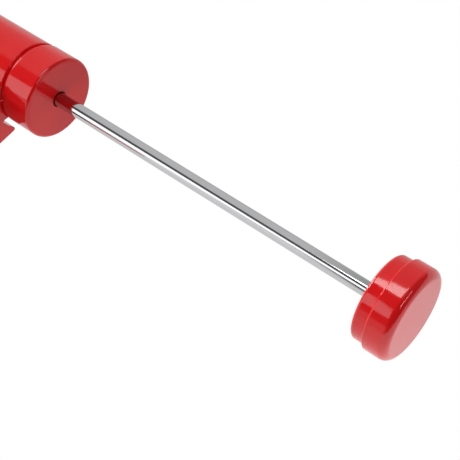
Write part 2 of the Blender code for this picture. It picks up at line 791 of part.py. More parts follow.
def trigger():
    pivot_x, pivot_drop = TRIGGER_PIVOT
    pivot = make_empty("trigger_pivot", (pivot_x, -pivot_drop, 0), GUN)
    nose = (NOSE_REACH * math.sin(NOSE_ANGLE), NOSE_REACH * math.cos(NOSE_ANGLE))
    down = Vector((-math.sin(TRIGGER_ANGLE), -math.cos(TRIGGER_ANGLE)))
    end = down * TRIGGER_LENGTH
    arm = capsule(
        "trigger_arm", (0, 0), ARM_ROOT_RADIUS, end, ARM_RADIUS, TRIGGER_HALF_THICKNESS, pivot
    )
    upper = capsule(
        "upper_arm", (0, 0), 4 * mm, nose, 2.5 * mm, TRIGGER_HALF_THICKNESS + 0.5 * mm, pivot
    )
    half_nose = TRIGGER_HALF_THICKNESS + mm
    nose_outline = rod_outline(-half_nose, half_nose, NOSE_RADIUS)
    knuckle = standing("knuckle", nose_outline, (nose[0], -nose[1]), STEEL, parent=pivot)
    hub_outline = rod_outline(-HUB_HALF_WIDTH, HUB_HALF_WIDTH, HUB_RADIUS)
    hub = standing("hub", hub_outline, (0, 0), STEEL, parent=pivot)
    combine(arm, "UNION", upper, hub, knuckle)
    pin_hole = standing(
        "arm_hole", rod_outline(-8 * mm, 8 * mm, PIN_RADIUS + GAP), (0, 0), STEEL, parent=pivot
    )
    combine(arm, "DIFFERENCE", pin_hole)
    standing("trigger_pin", rod_outline(-18.5 * mm, 18.5 * mm, PIN_RADIUS), TRIGGER_PIVOT, STEEL)
    across = Vector((down.y, -down.x))
    blade_sections = []
    steps = 8
    for i in range(steps + 1):
        share = i / steps
        along = BLADE_START + (BLADE_END - BLADE_START) * share
        hook = 7 * mm * max(0.0, share - 0.72) / 0.28
        centre = down * along + across * hook * share
        depth = BLADE_HALF_DEPTH - (2.2 * mm if i == steps else 0)
        width = BLADE_HALF_WIDTH - (2.2 * mm if i in (0, steps) else 0)
        ring = []
        for k in range(16):
            angle = 2 * math.pi * k / 16
            out = math.copysign(abs(math.cos(angle)) ** 0.7, math.cos(angle)) * depth
            side = math.copysign(abs(math.sin(angle)) ** 0.7, math.sin(angle)) * width
            point = centre + across * out
            ring.append((point.x, point.y, side))
        blade_sections.append(ring)
    blade = lofted("trigger_blade", blade_sections, RED_PLASTIC, pivot)
    pocket = capsule(
        "blade_pocket",
        (0, 0),
        ARM_ROOT_RADIUS + GAP,
        end,
        ARM_RADIUS + GAP,
        TRIGGER_HALF_THICKNESS + GAP,
        pivot,
    )
    combine(blade, "DIFFERENCE", pocket)
    for i, reach in enumerate(BLADE_RIVETS):
        centre = down * reach
        spot = (centre.x, -centre.y)
        hole = standing(
            f"blade_hole_{i}",
            rod_outline(-12 * mm, 12 * mm, RIVET_RADIUS + GAP),
            spot,
            STEEL,
            12,
            pivot,
        )
        combine(blade, "DIFFERENCE", hole)
        combine(arm, "DIFFERENCE", hole)
        top = BLADE_HALF_WIDTH + GAP
        outline = [
            (-top - mm, 0),
            (-top - 0.8 * mm, 1.6 * mm),
            (-top, 2.6 * mm),
            (-top, RIVET_RADIUS),
            (top, RIVET_RADIUS),
            (top, 2.6 * mm),
            (top + 0.8 * mm, 1.6 * mm),
            (top + mm, 0),
        ]
        standing(f"trigger_rivet_{i + 1}", outline, spot, STEEL, 12, pivot)


def drive_plates():
    """Two steel plates that grip the rod, and the spring that pushes them back against the trigger."""
    nose_x = TRIGGER_PIVOT[0] + NOSE_REACH * math.sin(NOSE_ANGLE)
    rear = nose_x - NOSE_RADIUS - GAP
    corner = 5 * mm
    outline = []
    for sign_z, sign_y, start in ((1, 1, 0), (-1, 1, 90), (-1, -1, 180), (1, -1, 270)):
        reach = PLATE_BOTTOM if sign_y > 0 else PLATE_TOP
        centre = (sign_z * (PLATE_HALF_WIDTH - corner), sign_y * (reach - corner))
        outline += arc(centre, corner, start, start + 90, 3)
    for i in range(2):
        high = rear - i * (PLATE_THICKNESS + GAP)
        low = high - PLATE_THICKNESS
        plate = extruded_x(f"drive_plate_{i + 1}", outline, low, high, STEEL)
        hole = turned(
            f"plate_hole_{i}", rod_outline(low - mm, high + mm, ROD_BORE), STEEL, SMALL_ROUND
        )
        combine(plate, "DIFFERENCE", hole)
    coil(
        "drive_spring",
        COLLAR_REAR + GAP,
        low - GAP,
        DRIVE_SPRING_RADIUS,
        DRIVE_WIRE_RADIUS,
        DRIVE_SPRING_TURNS,
        STEEL,
    )


def release():
    """The brake plate that locks the rod, its thumb pad and its spring, drawn in the plate's own frame."""
    pivot_x, pivot_drop = RELEASE_PIVOT
    pivot = make_empty("release_pivot", (pivot_x, -pivot_drop, 0), GUN, (0, 0, RELEASE_TILT))
    half = RELEASE_THICKNESS / 2
    right = (
        (6 * mm, -2 * mm),
        (6 * mm, 4 * mm),
        (13 * mm, 9 * mm),
        (13 * mm, 35 * mm),
        (RELEASE_TONGUE_HALF_WIDTH, 41 * mm),
        (RELEASE_TONGUE_HALF_WIDTH, RELEASE_LENGTH),
    )
    outline = list(right) + [(-z, drop) for z, drop in reversed(right)]
    plate = extruded_x("release_plate", outline, -half, half, STEEL, pivot)
    reach = -pivot_drop / math.cos(RELEASE_TILT)
    hole = turned(
        "release_hole", rod_outline(-5 * mm, 5 * mm, RELEASE_HOLE), STEEL, SMALL_ROUND, pivot
    )
    hole.data.transform(Matrix.Translation((0, -reach, 0)))
    tongue = box(
        "tongue",
        (0, -RELEASE_LENGTH, -RELEASE_TONGUE_HALF_WIDTH),
        (RELEASE_TONGUE_LENGTH, -RELEASE_LENGTH + RELEASE_THICKNESS, RELEASE_TONGUE_HALF_WIDTH),
        STEEL,
        pivot,
    )
    combine(plate, "UNION", tongue)
    combine(plate, "DIFFERENCE", hole)
    pad = box(
        "release_pad",
        (PAD_FRONT, -PAD_ENDS[1], -PAD_HALF_WIDTH),
        (PAD_FRONT + PAD_DEPTH, -PAD_ENDS[0], PAD_HALF_WIDTH),
        BLACK_PLASTIC,
        pivot,
    )
    bevel = pad.modifiers.new("round_edges", "BEVEL")
    bevel.width = 1.6 * mm
    bevel.segments = 2
    pocket = box(
        "pad_pocket",
        (0, -RELEASE_LENGTH - GAP, -5 * mm),
        (RELEASE_TONGUE_LENGTH + GAP, -RELEASE_LENGTH + RELEASE_THICKNESS + GAP, 5 * mm),
        BLACK_PLASTIC,
        pivot,
    )
    combine(pad, "DIFFERENCE", pocket)
    coil(
        "release_spring",
        SUPPORT_REAR + GAP,
        RELEASE_SPRING_REAR,
        RELEASE_SPRING_RADIUS,
        RELEASE_WIRE_RADIUS,
        RELEASE_SPRING_TURNS,
        STEEL,
    )


rear_cap()
body_shells()
shell_screws()
rod_support()
barrel()
front_end()
piston()
rod_and_knob()
trigger()
drive_plates()
release()
bpy.context.view_layer.update()
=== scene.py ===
"""Looks of a closed-barrel caulking gun that lies on its right side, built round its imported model.

Places are worked out in the gun's own frame: x runs back from the rear cap's face along the plunger
rod, y points to the top of the gun as it is held, z to its left side, and the rod's axis is y = z = 0.
"""

import json
import math

import bmesh
import bpy
from mathutils import Euler, Matrix, Vector

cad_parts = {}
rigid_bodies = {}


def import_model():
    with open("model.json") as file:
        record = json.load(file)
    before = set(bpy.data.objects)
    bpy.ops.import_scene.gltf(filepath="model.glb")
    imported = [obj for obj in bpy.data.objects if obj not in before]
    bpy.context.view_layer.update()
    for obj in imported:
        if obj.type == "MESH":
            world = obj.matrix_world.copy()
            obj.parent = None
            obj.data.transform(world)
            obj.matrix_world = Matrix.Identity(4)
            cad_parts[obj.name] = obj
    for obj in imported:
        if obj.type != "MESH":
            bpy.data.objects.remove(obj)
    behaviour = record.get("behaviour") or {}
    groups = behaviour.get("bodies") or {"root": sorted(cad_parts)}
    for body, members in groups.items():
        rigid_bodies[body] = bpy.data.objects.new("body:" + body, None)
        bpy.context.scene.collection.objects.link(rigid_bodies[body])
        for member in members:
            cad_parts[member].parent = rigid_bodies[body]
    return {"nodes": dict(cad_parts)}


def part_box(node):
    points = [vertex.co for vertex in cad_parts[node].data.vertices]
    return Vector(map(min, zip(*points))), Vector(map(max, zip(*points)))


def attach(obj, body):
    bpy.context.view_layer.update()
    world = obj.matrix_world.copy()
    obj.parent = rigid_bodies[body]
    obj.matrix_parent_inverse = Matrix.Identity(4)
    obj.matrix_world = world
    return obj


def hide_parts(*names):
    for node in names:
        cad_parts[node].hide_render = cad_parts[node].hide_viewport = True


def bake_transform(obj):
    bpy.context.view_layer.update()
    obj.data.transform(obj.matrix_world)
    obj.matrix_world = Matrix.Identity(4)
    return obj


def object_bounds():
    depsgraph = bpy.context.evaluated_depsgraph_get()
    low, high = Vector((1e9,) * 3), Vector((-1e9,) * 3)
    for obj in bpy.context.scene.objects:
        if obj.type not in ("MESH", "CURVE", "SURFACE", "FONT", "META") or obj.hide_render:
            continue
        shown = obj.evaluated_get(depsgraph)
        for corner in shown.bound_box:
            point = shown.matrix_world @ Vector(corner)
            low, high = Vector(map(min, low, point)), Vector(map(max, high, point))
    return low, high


for leftover in list(bpy.data.objects):
    bpy.data.objects.remove(leftover)
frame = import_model()
cad_low, cad_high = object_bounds()

# ------------------------ Housing and handle
# Two ABS half shells, moulded with the housing, the narrow web, the handle's head and the pistol
# grip in one piece each. They meet on the gun's middle plane and are held by four screws from the left.

MM = 0.001
cap_low, cap_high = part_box("rear_cap")
rod_low, rod_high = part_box("plunger_rod")
gun_origin = Vector((cap_high.x, (rod_low.y + rod_high.y) / 2, (rod_low.z + rod_high.z) / 2))
cap_front = cap_low.x - gun_origin.x
shell_low, shell_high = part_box("body_shell_left")
housing_front = shell_low.x - gun_origin.x
housing_radius = 27.6 * MM
housing_bore = 25.0 * MM
housing_rear = -26.0 * MM
groove_radius = 25.4 * MM
neck_radius = 24.6 * MM
neck_rear = shell_high.x - gun_origin.x
neck_lip = 7.3 * MM
shell_wall = 2.8 * MM
parting_gap = 0.12 * MM
head_rear = -24.6 * MM
head_front = -92.0 * MM
web_half_width = 8.0 * MM
head_half_width = 22.0 * MM
slot_radius = 32.2 * MM
slot_reach = 18.2 * MM
head_side_drop = 45.0 * MM
head_drop = 58.0 * MM
head_foot_half_width = 17.5 * MM
head_end_edge = 0.8 * MM
head_tip_edge = 1.7 * MM
head_side_edge = 4.0 * MM
head_foot_edge = 2.5 * MM
hollow_reach = 16.0 * MM
hollow_top_drop = 18.0 * MM
web_top_drop = 25.6 * MM
web_root_edge = 1.0 * MM
web_root_drops = (22.6 * MM, 26.6 * MM)
grip_top_drop = 50.0 * MM
grip_end_edge = 2.2 * MM
grip_drop = gun_origin.y - shell_low.y
trigger_pivot = Vector((-64.0, -40.0)) * MM
pin_radius = 2.5 * MM
pin_hole_end = 18.8 * MM
pin_boss_radius = 5.5 * MM
pin_boss_end = 20.5 * MM
screw_boss_radius = 4.2 * MM
trigger_slot_length = (-81.0 * MM, -59.2 * MM)
trigger_slot_half_width = 6.0 * MM
release_slot = ((-32 * MM, -61.5 * MM, -5.6 * MM), (-20 * MM, -53 * MM, 5.6 * MM))
hub_half_width = 5.4 * MM
running_gap = 0.3 * MM
# (drop below the axis, centre x, half depth, half width)
grip_sections = (
    (48.0, -42.0, 17.2, 17.6),
    (62.0, -41.9, 17.0, 17.0),
    (80.0, -40.0, 16.2, 16.5),
    (105.0, -36.0, 17.2, 16.8),
    (130.0, -31.0, 17.6, 17.0),
    (150.0, -26.5, 18.5, 17.5),
)
# (x, y, height of the head's top above the middle plane)
screw_places = ((-82.0, -40.0, 21.6), (-46.0, -50.0, 19.8), (-36.0, -95.0, 16.2), (-30.0, -138.0, 16.6))
screw_head_radius = 3.2 * MM
screw_head_height = 2.0 * MM
screw_shank_radius = 1.4 * MM
screw_tip = -13.0 * MM


def filleted(corners, steps=6):
    """A closed outline through (x, y, radius) corners, each rounded by its own radius."""
    points = []
    for i, (x, y, radius) in enumerate(corners):
        here = Vector((x, y))
        if radius == 0:
            points.append(here)
            continue
        back = (Vector(corners[i - 1][:2]) - here).normalized()
        ahead = (Vector(corners[(i + 1) % len(corners)][:2]) - here).normalized()
        half = back.angle(ahead) / 2
        centre = here + (back + ahead).normalized() * radius / math.sin(half)
        start = here + back * radius / math.tan(half) - centre
        sweep = math.copysign(math.pi - 2 * half, back.x * ahead.y - back.y * ahead.x)
        for k in range(steps + 1):
            points.append(centre + Matrix.Rotation(-sweep * k / steps, 2) @ start)
    return points


def finish_surface(piece, sharp=28):
    """Smooth round faces, sharp edges, and flat faces that stay flat next to a small radius."""
    piece.data.shade_smooth()
    piece.data.set_sharp_from_angle(angle=math.radians(sharp))
    modifier = piece.modifiers.new("flat_faces", "WEIGHTED_NORMAL")
    modifier.keep_sharp = True
    return piece


def place(name, mesh):
    """Turns a bmesh in the gun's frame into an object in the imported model's frame."""
    bmesh.ops.recalc_face_normals(mesh, faces=mesh.faces)
    data = bpy.data.meshes.new(name)
    mesh.to_mesh(data)
    mesh.free()
    data.transform(Matrix.Translation(gun_origin))
    piece = bpy.data.objects.new(name, data)
    bpy.context.scene.collection.objects.link(piece)
    return piece


def turned(name, outline, segments=160):
    """A solid turned about the rod's axis from a closed outline of (x, radius) points."""
    mesh = bmesh.new()
    rings = []
    for x, radius in outline:
        if radius < 1e-7:
            rings.append([mesh.verts.new((x, 0, 0))])
            continue
        angles = [2 * math.pi * i / segments for i in range(segments)]
        ring = [(x, radius * math.cos(a), radius * math.sin(a)) for a in angles]
        rings.append([mesh.verts.new(point) for point in ring])
    for ring, after in zip(rings, rings[1:] + rings[:1]):
        if len(ring) == 1 and len(after) == 1:
            continue
        for i in range(segments):
            j = (i + 1) % segments
            turn = ((ring, i), (ring, j), (after, j), (after, i))
            corners = [circle[k % len(circle)] for circle, k in turn]
            mesh.faces.new(tuple(dict.fromkeys(corners)))
    return place(name, mesh)


def linear(code):
    """A six-digit sRGB hex code as linear red, green, blue and alpha."""
    channels = [int(code[i : i + 2], 16) / 255 for i in (0, 2, 4)]
    return (*[c / 12.92 if c <= 0.04045 else ((c + 0.055) / 1.055) ** 2.4 for c in channels], 1)


def feed(tree, node, links):
    """Feeds the node's inputs, by name or number, from other nodes' outputs."""
    for name, socket in links.items():
        tree.links.new(socket, node.inputs[name])


def add_node(tree, kind, settings=None, links=None):
    """Adds a shader node, sets its properties and inputs, and feeds its inputs from other outputs."""
    node = tree.nodes.new("ShaderNode" + kind)
    for name, value in (settings or {}).items():
        if isinstance(name, str) and hasattr(node, name):
            setattr(node, name, value)
        else:
            node.inputs[name].default_value = value
    feed(tree, node, links or {})
    return node


def new_material(name):
    """A material with its Principled shader, and object coordinates in millimetres."""
    material = bpy.data.materials.new(name)
    material.use_nodes = True
    tree = material.node_tree
    place_of = add_node(tree, "TexCoord").outputs["Object"]
    settings = {"operation": "SCALE", "Scale": 1000.0}
    millimetres = add_node(tree, "VectorMath", settings, {0: place_of}).outputs[0]
    return material, tree, tree.nodes["Principled BSDF"], millimetres


def glossy_red_abs():
    """Injection-moulded ABS from a polished tool: deep red, mirror gloss, with the faint waves that
    the plastic takes as it shrinks, and a little dust and handling haze in its gloss."""
    material, tree, shader, millimetres = new_material("glossy_red_abs")
    shader.inputs["IOR"].default_value = 1.53
    tint = add_node(tree, "TexNoise", {"Scale": 1 / 18.0, "Detail": 2.0}, {"Vector": millimetres})
    tones = {"data_type": "RGBA", 6: linear("E3171A"), 7: linear("EB1A1E")}
    colour = add_node(tree, "Mix", tones, {0: tint.outputs["Fac"]})
    haze = add_node(
        tree, "TexNoise", {"Scale": 1 / 5.0, "Detail": 5.0, "Roughness": 0.65}, {"Vector": millimetres}
    )
    gloss_range = {"From Min": 0.35, "From Max": 0.7, "To Min": 0.07, "To Max": 0.13}
    gloss = add_node(tree, "MapRange", gloss_range, {"Value": haze.outputs["Fac"]})
    wave = add_node(tree, "TexNoise", {"Scale": 1 / 9.0, "Detail": 1.0}, {"Vector": millimetres})
    peel = add_node(tree, "TexNoise", {"Scale": 1 / 0.9, "Detail": 1.0}, {"Vector": millimetres})
    broad = add_node(
        tree, "Bump", {"Strength": 0.25, "Distance": 0.00004}, {"Height": wave.outputs["Fac"]}
    )
    fine = add_node(
        tree,
        "Bump",
        {"Strength": 0.12, "Distance": 0.000006},
        {"Height": peel.outputs["Fac"], "Normal": broad.outputs["Normal"]},
    )
    feed(tree, shader, {"Base Color": colour.outputs[2], "Roughness": gloss.outputs["Result"]})
    feed(tree, shader, {"Normal": fine.outputs["Normal"]})
    return material


def dress(piece, material, slot, body, *nodes):
    """Gives a piece its surface and material, the body it rides on and its CAD nodes. The slot is not
    used.
    """
    finish_surface(piece)
    piece.data.materials.clear()
    piece.data.materials.append(material)
    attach(piece, body)
    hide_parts(*nodes)


def lofted(name, sections):
    """A solid through rings of as many points each, closed by a flat face at both ends."""
    mesh = bmesh.new()
    rings = [[mesh.verts.new(point) for point in section] for section in sections]
    for ring, after in zip(rings, rings[1:]):
        for i in range(len(ring)):
            j = (i + 1) % len(ring)
            mesh.faces.new((ring[i], ring[j], after[j], after[i]))
    mesh.faces.new(rings[0])
    mesh.faces.new(rings[-1])
    return place(name, mesh)


def inset(outline, distance):
    """The outline moved inwards, for outlines whose points run anticlockwise."""
    moved = []
    for i, point in enumerate(outline):
        run = outline[(i + 1) % len(outline)] - outline[i - 1]
        moved.append(point + Vector((-run.y, run.x)).normalized() * distance)
    return moved


def round_ended(name, outline, low, high, edge, put, steps=5):
    """An outline drawn out from low to high, with both ends rounded over by the edge radius.
    put(point, height) gives the place of a point of the outline at a height along the draw."""
    area = sum(a.x * b.y - a.y * b.x for a, b in zip(outline, outline[1:] + outline[:1]))
    if area < 0:
        outline = outline[::-1]
    sections = []
    ends = [(low, 1, k) for k in range(steps + 1)] + [(high, -1, k) for k in range(steps, -1, -1)]
    for end, inwards, k in ends:
        turn = math.pi / 2 * k / steps
        ring = inset(outline, edge * (1 - math.sin(turn)))
        sections.append([put(p, end + inwards * edge * (1 - math.cos(turn))) for p in ring])
    return lofted(name, sections)


def along_x(point, height):
    return (height, -point.y, point.x)


def along_z(point, height):
    return (point.x, point.y, height)


def bar(low, high, radius):
    """A round bar's outline as (height, radius) points, closed on its axis."""
    return [(low, 0), (low, radius), (high, radius), (high, 0)]


def rectangle(low_x, high_x, low_y, high_y, radius=0, steps=6):
    """A rectangle's outline, its corners rounded by the radius."""
    corners = ((low_x, low_y), (high_x, low_y), (high_x, high_y), (low_x, high_y))
    return filleted([(x, y, radius) for x, y in corners], steps)


def standing(name, outline, centre, segments=64):
    """A solid turned about an axis along z, through centre, from (z, radius) points."""
    piece = turned(name, outline, segments)
    turn = Matrix.Translation(gun_origin + Vector((centre.x, centre.y, 0)))
    turn @= Matrix.Rotation(math.radians(-90), 4, "Y") @ Matrix.Translation(-gun_origin)
    piece.data.transform(turn)
    return piece


def box(name, low, high):
    corners = rectangle(low[0], high[0], low[1], high[1])
    return lofted(name, [[along_z(corner, z) for corner in corners] for z in (low[2], high[2])])


def combine(piece, operation, helper):
    """Joins the helper to the piece or cuts it out, and removes the helper."""
    modifier = piece.modifiers.new("combine", "BOOLEAN")
    modifier.operation = operation
    modifier.object = helper
    graph = bpy.context.evaluated_depsgraph_get()
    mesh = bpy.data.meshes.new_from_object(piece.evaluated_get(graph))
    piece.modifiers.clear()
    piece.data = mesh
    bpy.data.objects.remove(helper)


def head_outline(web, width, radius, reach, side_drop, foot, bottom, top, tip, root):
    """The handle's head seen from behind, in (z, drop): web, hollowed shoulders, sides and foot."""
    shoulder = []
    first = math.acos(web / radius)
    last = math.acos(reach / radius)
    for k in range(1, 13):
        angle = first + (last - first) * k / 12
        shoulder.append((radius * math.cos(angle), radius * math.sin(angle), 0))
    end = Vector(shoulder[-1][:2])
    slope = Vector((end.y, -end.x)).normalized()
    corner = end + slope * (width - end.x) / slope.x
    right = [(web, top, 0), (web, math.sqrt(radius**2 - web**2), root)]
    right += [*shoulder[1:], (width, corner.y, tip)]
    right += [(width, side_drop, head_side_edge), (foot, bottom, head_foot_edge)]
    left = [(-z, drop, fillet) for z, drop, fillet in reversed(right)]
    return filleted(right + left, 5)


def signed_power(value, power):
    """The power of the value's size, with its sign: it squares off a circle."""
    return math.copysign(abs(value) ** power, value)


def grip_rings(shrink, top, bottom, edge):
    """Rounded sections of the grip on a smooth spine, from the top drop to the bottom drop."""
    roundness = 2.6
    count = 72
    steps = 36
    rings = []
    drops = [top + (bottom - edge - top) * k / steps for k in range(steps + 1)]
    insets = [0.0] * len(drops)
    for k in range(1, 6):
        turn = math.pi / 2 * k / 5
        drops.append(bottom - edge + edge * math.sin(turn))
        insets.append(edge * (1 - math.cos(turn)))
    for drop, pull in zip(drops, insets):
        centre_x, depth, width = grip_at(drop / MM)
        ring = []
        for i in range(count):
            angle = 2 * math.pi * i / count
            across = signed_power(math.cos(angle), 2 / roundness)
            side = signed_power(math.sin(angle), 2 / roundness)
            x = centre_x * MM + across * (depth * MM - shrink - pull)
            ring.append((x, -drop, side * (width * MM - shrink - pull)))
        rings.append(ring)
    return rings


def grip_at(drop):
    """The grip's centre, half depth and half width at a drop in millimetres, on a smooth curve."""
    table = grip_sections
    k = max(i for i in range(len(table) - 1) if table[i][0] <= max(drop, table[0][0]))
    last = len(table) - 1
    before, here, ahead, after = (table[min(max(j, 0), last)] for j in range(k - 1, k + 3))
    span = ahead[0] - here[0]
    t = max(0.0, (drop - here[0]) / span)
    values = []
    for c in (1, 2, 3):
        rise = (ahead[c] - before[c]) / max(ahead[0] - before[0], 1) * span
        fall = (after[c] - here[c]) / max(after[0] - here[0], 1) * span
        values.append(
            (2 * t**3 - 3 * t**2 + 1) * here[c]
            + (t**3 - 2 * t**2 + t) * rise
            + (3 * t**2 - 2 * t**3) * ahead[c]
            + (t**3 - t**2) * fall
        )
    return values


def housing_profile():
    neck_bore = neck_radius - shell_wall
    lip = 3.5 * MM
    corners = [
        (housing_front, housing_radius, 0.25 * MM),
        (housing_rear, housing_radius, 0.8 * MM),
        (housing_rear, groove_radius, 0.3 * MM),
        (cap_front - running_gap, groove_radius, 0),
        (cap_front - running_gap, neck_radius, 0),
        (neck_rear, neck_radius, 0.4 * MM),
        (neck_rear, neck_lip, 0),
        (neck_rear - lip, neck_lip, 0),
        (neck_rear - lip, neck_bore, 0),
        (housing_rear, neck_bore, 0),
        (housing_rear - shell_wall, housing_bore, 0),
        (housing_front, housing_bore, 0),
    ]
    return filleted(corners, 4)


def shell_half(side):
    """One half of the housing and handle: +1 is the left half and -1 the right."""
    name = "left" if side > 0 else "right"
    shell = turned("handle_half_" + name, housing_profile())
    outer = head_outline(
        web_half_width, head_half_width, slot_radius, slot_reach,
        head_side_drop, head_foot_half_width, head_drop,
        web_top_drop, head_tip_edge, web_root_edge,
    )
    inner = head_outline(
        web_half_width - shell_wall + 0.3 * MM, head_half_width - shell_wall,
        slot_radius + shell_wall, hollow_reach,
        head_side_drop - MM, head_foot_half_width - shell_wall, head_drop - shell_wall,
        hollow_top_drop, 0.8 * MM, 0.5 * MM,
    )
    head = round_ended("head", outer, head_front, head_rear, head_end_edge, along_x)
    combine(shell, "UNION", head)
    root = rectangle(-web_half_width, web_half_width, *web_root_drops)
    root_front = housing_rear - head_end_edge
    web_root = round_ended("web_root", root, root_front, head_rear, head_end_edge, along_x)
    combine(shell, "UNION", web_root)
    combine(shell, "UNION", lofted("grip", grip_rings(0, grip_top_drop, grip_drop, grip_end_edge)))
    hollow = round_ended(
        "head_hollow", inner, head_front + shell_wall, head_rear - shell_wall, 0.5 * MM, along_x
    )
    combine(shell, "DIFFERENCE", hollow)
    inside = grip_rings(shell_wall, grip_top_drop - 3 * MM, grip_drop - shell_wall, MM)
    combine(shell, "DIFFERENCE", lofted("grip_hollow", inside))
    for x, y, top in screw_places:
        centre = Vector((x, y)) * MM
        end = (top - 0.8) * MM
        combine(shell, "UNION", standing("boss", bar(-end, end, screw_boss_radius), centre))
        seat = top * MM - screw_head_height - running_gap
        loose = screw_shank_radius + running_gap
        wide = screw_head_radius + running_gap
        hole = [
            (screw_tip - MM, 0),
            (screw_tip - MM, loose),
            (seat, loose),
            (seat, wide),
            (top * MM + 5 * MM, wide),
            (top * MM + 5 * MM, 0),
        ]
        combine(shell, "DIFFERENCE", standing("hole", hole, centre))
    near = side * (hub_half_width + 2 * running_gap)
    far = side * pin_boss_end
    boss = bar(near, far, pin_boss_radius)
    combine(shell, "UNION", standing("pin_boss", boss, trigger_pivot))
    hole = bar(-pin_hole_end, pin_hole_end, pin_radius + running_gap)
    combine(shell, "DIFFERENCE", standing("pin_hole", hole, trigger_pivot))
    slot = rectangle(*trigger_slot_length, -trigger_slot_half_width, trigger_slot_half_width, 2 * MM)
    through_foot = (-60 * MM, -50 * MM)
    slot_cutter = lofted("trigger_slot", [[(p.x, y, p.y) for p in slot] for y in through_foot])
    combine(shell, "DIFFERENCE", slot_cutter)
    combine(shell, "DIFFERENCE", box("release_slot", *release_slot))
    ends = sorted((side * parting_gap / 2, side * 40 * MM))
    half = box("half", (-200 * MM, -200 * MM, ends[0]), (100 * MM, 100 * MM, ends[1]))
    combine(shell, "INTERSECT", half)
    dress(shell, red_abs, "red_abs", "body", "body_shell_" + name)


red_abs = glossy_red_abs()
for side in (1, -1):
    shell_half(side)

# ------------------------ Rear cap
# The cap is a glossy ABS moulding that screws over the housing's neck and closes the gun's back end.
# Its rim has a small moulded radius, and the plunger rod runs through a hole in its flat face.

cap_radius = (cap_high.z - cap_low.z) / 2
cap_wall = 3.0 * MM
cap_bore = 25.0 * MM
cap_hole = 5.4 * MM
cap_front_edge = 1.1 * MM
cap_rear_edge = 2.5 * MM
rear_cap_outline = [
    (cap_front, cap_bore, 0.3 * MM),
    (cap_front, cap_radius, cap_front_edge),
    (0, cap_radius, cap_rear_edge),
    (0, cap_hole, 0.5 * MM),
    (-cap_wall, cap_hole, 0.3 * MM),
    (-cap_wall, cap_bore, 1.0 * MM),
]
rear_cap = turned("rear_cap_moulding", filleted(rear_cap_outline))
dress(rear_cap, red_abs, "red_abs", "body", "rear_cap")

# ------------------------ Shell screws and trigger pin
# Zinc-plated steel self-tapping screws with a low round head and a cross recess, driven from the
# left into blind bosses. The trigger's pivot pin is plain ground steel and stays inside the head.


def zinc_plated_steel():
    """Electroplated zinc on steel: a soft bright metal with a faint cold mottle and fine scratches."""
    material, tree, shader, millimetres = new_material("zinc_plated_steel")
    shader.inputs["Metallic"].default_value = 1.0
    mottle = add_node(tree, "TexNoise", {"Scale": 1 / 3.0, "Detail": 4.0}, {"Vector": millimetres})
    tones = {"data_type": "RGBA", 6: linear("B9BCBD"), 7: linear("CFCDC4")}
    colour = add_node(tree, "Mix", tones, {0: mottle.outputs["Fac"]})
    gloss_range = {"From Min": 0.3, "From Max": 0.7, "To Min": 0.22, "To Max": 0.38}
    gloss = add_node(tree, "MapRange", gloss_range, {"Value": mottle.outputs["Fac"]})
    grain = add_node(tree, "TexNoise", {"Scale": 1 / 0.25, "Detail": 3.0}, {"Vector": millimetres})
    bump = add_node(
        tree, "Bump", {"Strength": 0.3, "Distance": 0.00001}, {"Height": grain.outputs["Fac"]}
    )
    feed(tree, shader, {"Base Color": colour.outputs[2], "Roughness": gloss.outputs["Result"]})
    feed(tree, shader, {"Normal": bump.outputs["Normal"]})
    return material


def keep(material, *names):
    """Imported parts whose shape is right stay, and take this material."""
    for name in names:
        materials = frame["nodes"][name].data.materials
        materials.clear()
        materials.append(material)


zinc_steel = zinc_plated_steel()
for i, (x, y, top) in enumerate(screw_places):
    centre = Vector((x, y)) * MM
    head_top = top * MM
    seat = head_top - screw_head_height
    profile = [
        (screw_tip, 0, 0),
        (screw_tip + 2 * MM, screw_shank_radius, 0.3 * MM),
        (seat, screw_shank_radius, 0),
        (seat, screw_head_radius, 0.3 * MM),
        (head_top - 0.5 * MM, screw_head_radius, 0.5 * MM),
        (head_top, 0.6 * screw_head_radius, 0.6 * MM),
        (head_top, 0, 0),
    ]
    screw = standing(f"shell_screw_head_{i + 1}", filleted(profile, 5), centre)
    for turn in (0, 90):
        recess = box("recess", (-1.9 * MM, -0.4 * MM, -1.1 * MM), (1.9 * MM, 0.4 * MM, MM))
        spin = Matrix.Translation(gun_origin + Vector((centre.x, centre.y, head_top)))
        spin @= Matrix.Rotation(math.radians(turn + 20 * i), 4, "Z")
        recess.data.transform(spin @ Matrix.Translation(-gun_origin))
        combine(screw, "DIFFERENCE", recess)
    dress(screw, zinc_steel, "zinc_steel", "body", f"shell_screw_{i + 1}")
keep(zinc_steel, "trigger_pin")

# ------------------------ Rod bush, rod support and barrel collar
# Inside the housing: a black nylon bush behind the cap, a stamped steel plate that guides the rod and
# carries the release spring, and a pressed steel cup that joins housing and barrel.


def black_nylon():
    """Moulded nylon with the fine spark-eroded grain of its tool: dark, dry and low in gloss."""
    material, tree, shader, millimetres = new_material("black_nylon")
    shader.inputs["IOR"].default_value = 1.53
    shader.inputs["Base Color"].default_value = linear("1C1C1D")
    grain = add_node(tree, "TexNoise", {"Scale": 1 / 0.35, "Detail": 4.0}, {"Vector": millimetres})
    gloss_range = {"From Min": 0.3, "From Max": 0.7, "To Min": 0.38, "To Max": 0.52}
    gloss = add_node(tree, "MapRange", gloss_range, {"Value": grain.outputs["Fac"]})
    bump = add_node(
        tree, "Bump", {"Strength": 0.5, "Distance": 0.00003}, {"Height": grain.outputs["Fac"]}
    )
    feed(tree, shader, {"Roughness": gloss.outputs["Result"], "Normal": bump.outputs["Normal"]})
    return material


nylon = black_nylon()
keep(nylon, "rear_bush")
keep(zinc_steel, "rod_support", "barrel_collar")

# ------------------------ Barrel
# A seamless steel tube with rolled ends, powder-coated glossy red and baked. Three domed steel
# rivets hold it on the collar behind.


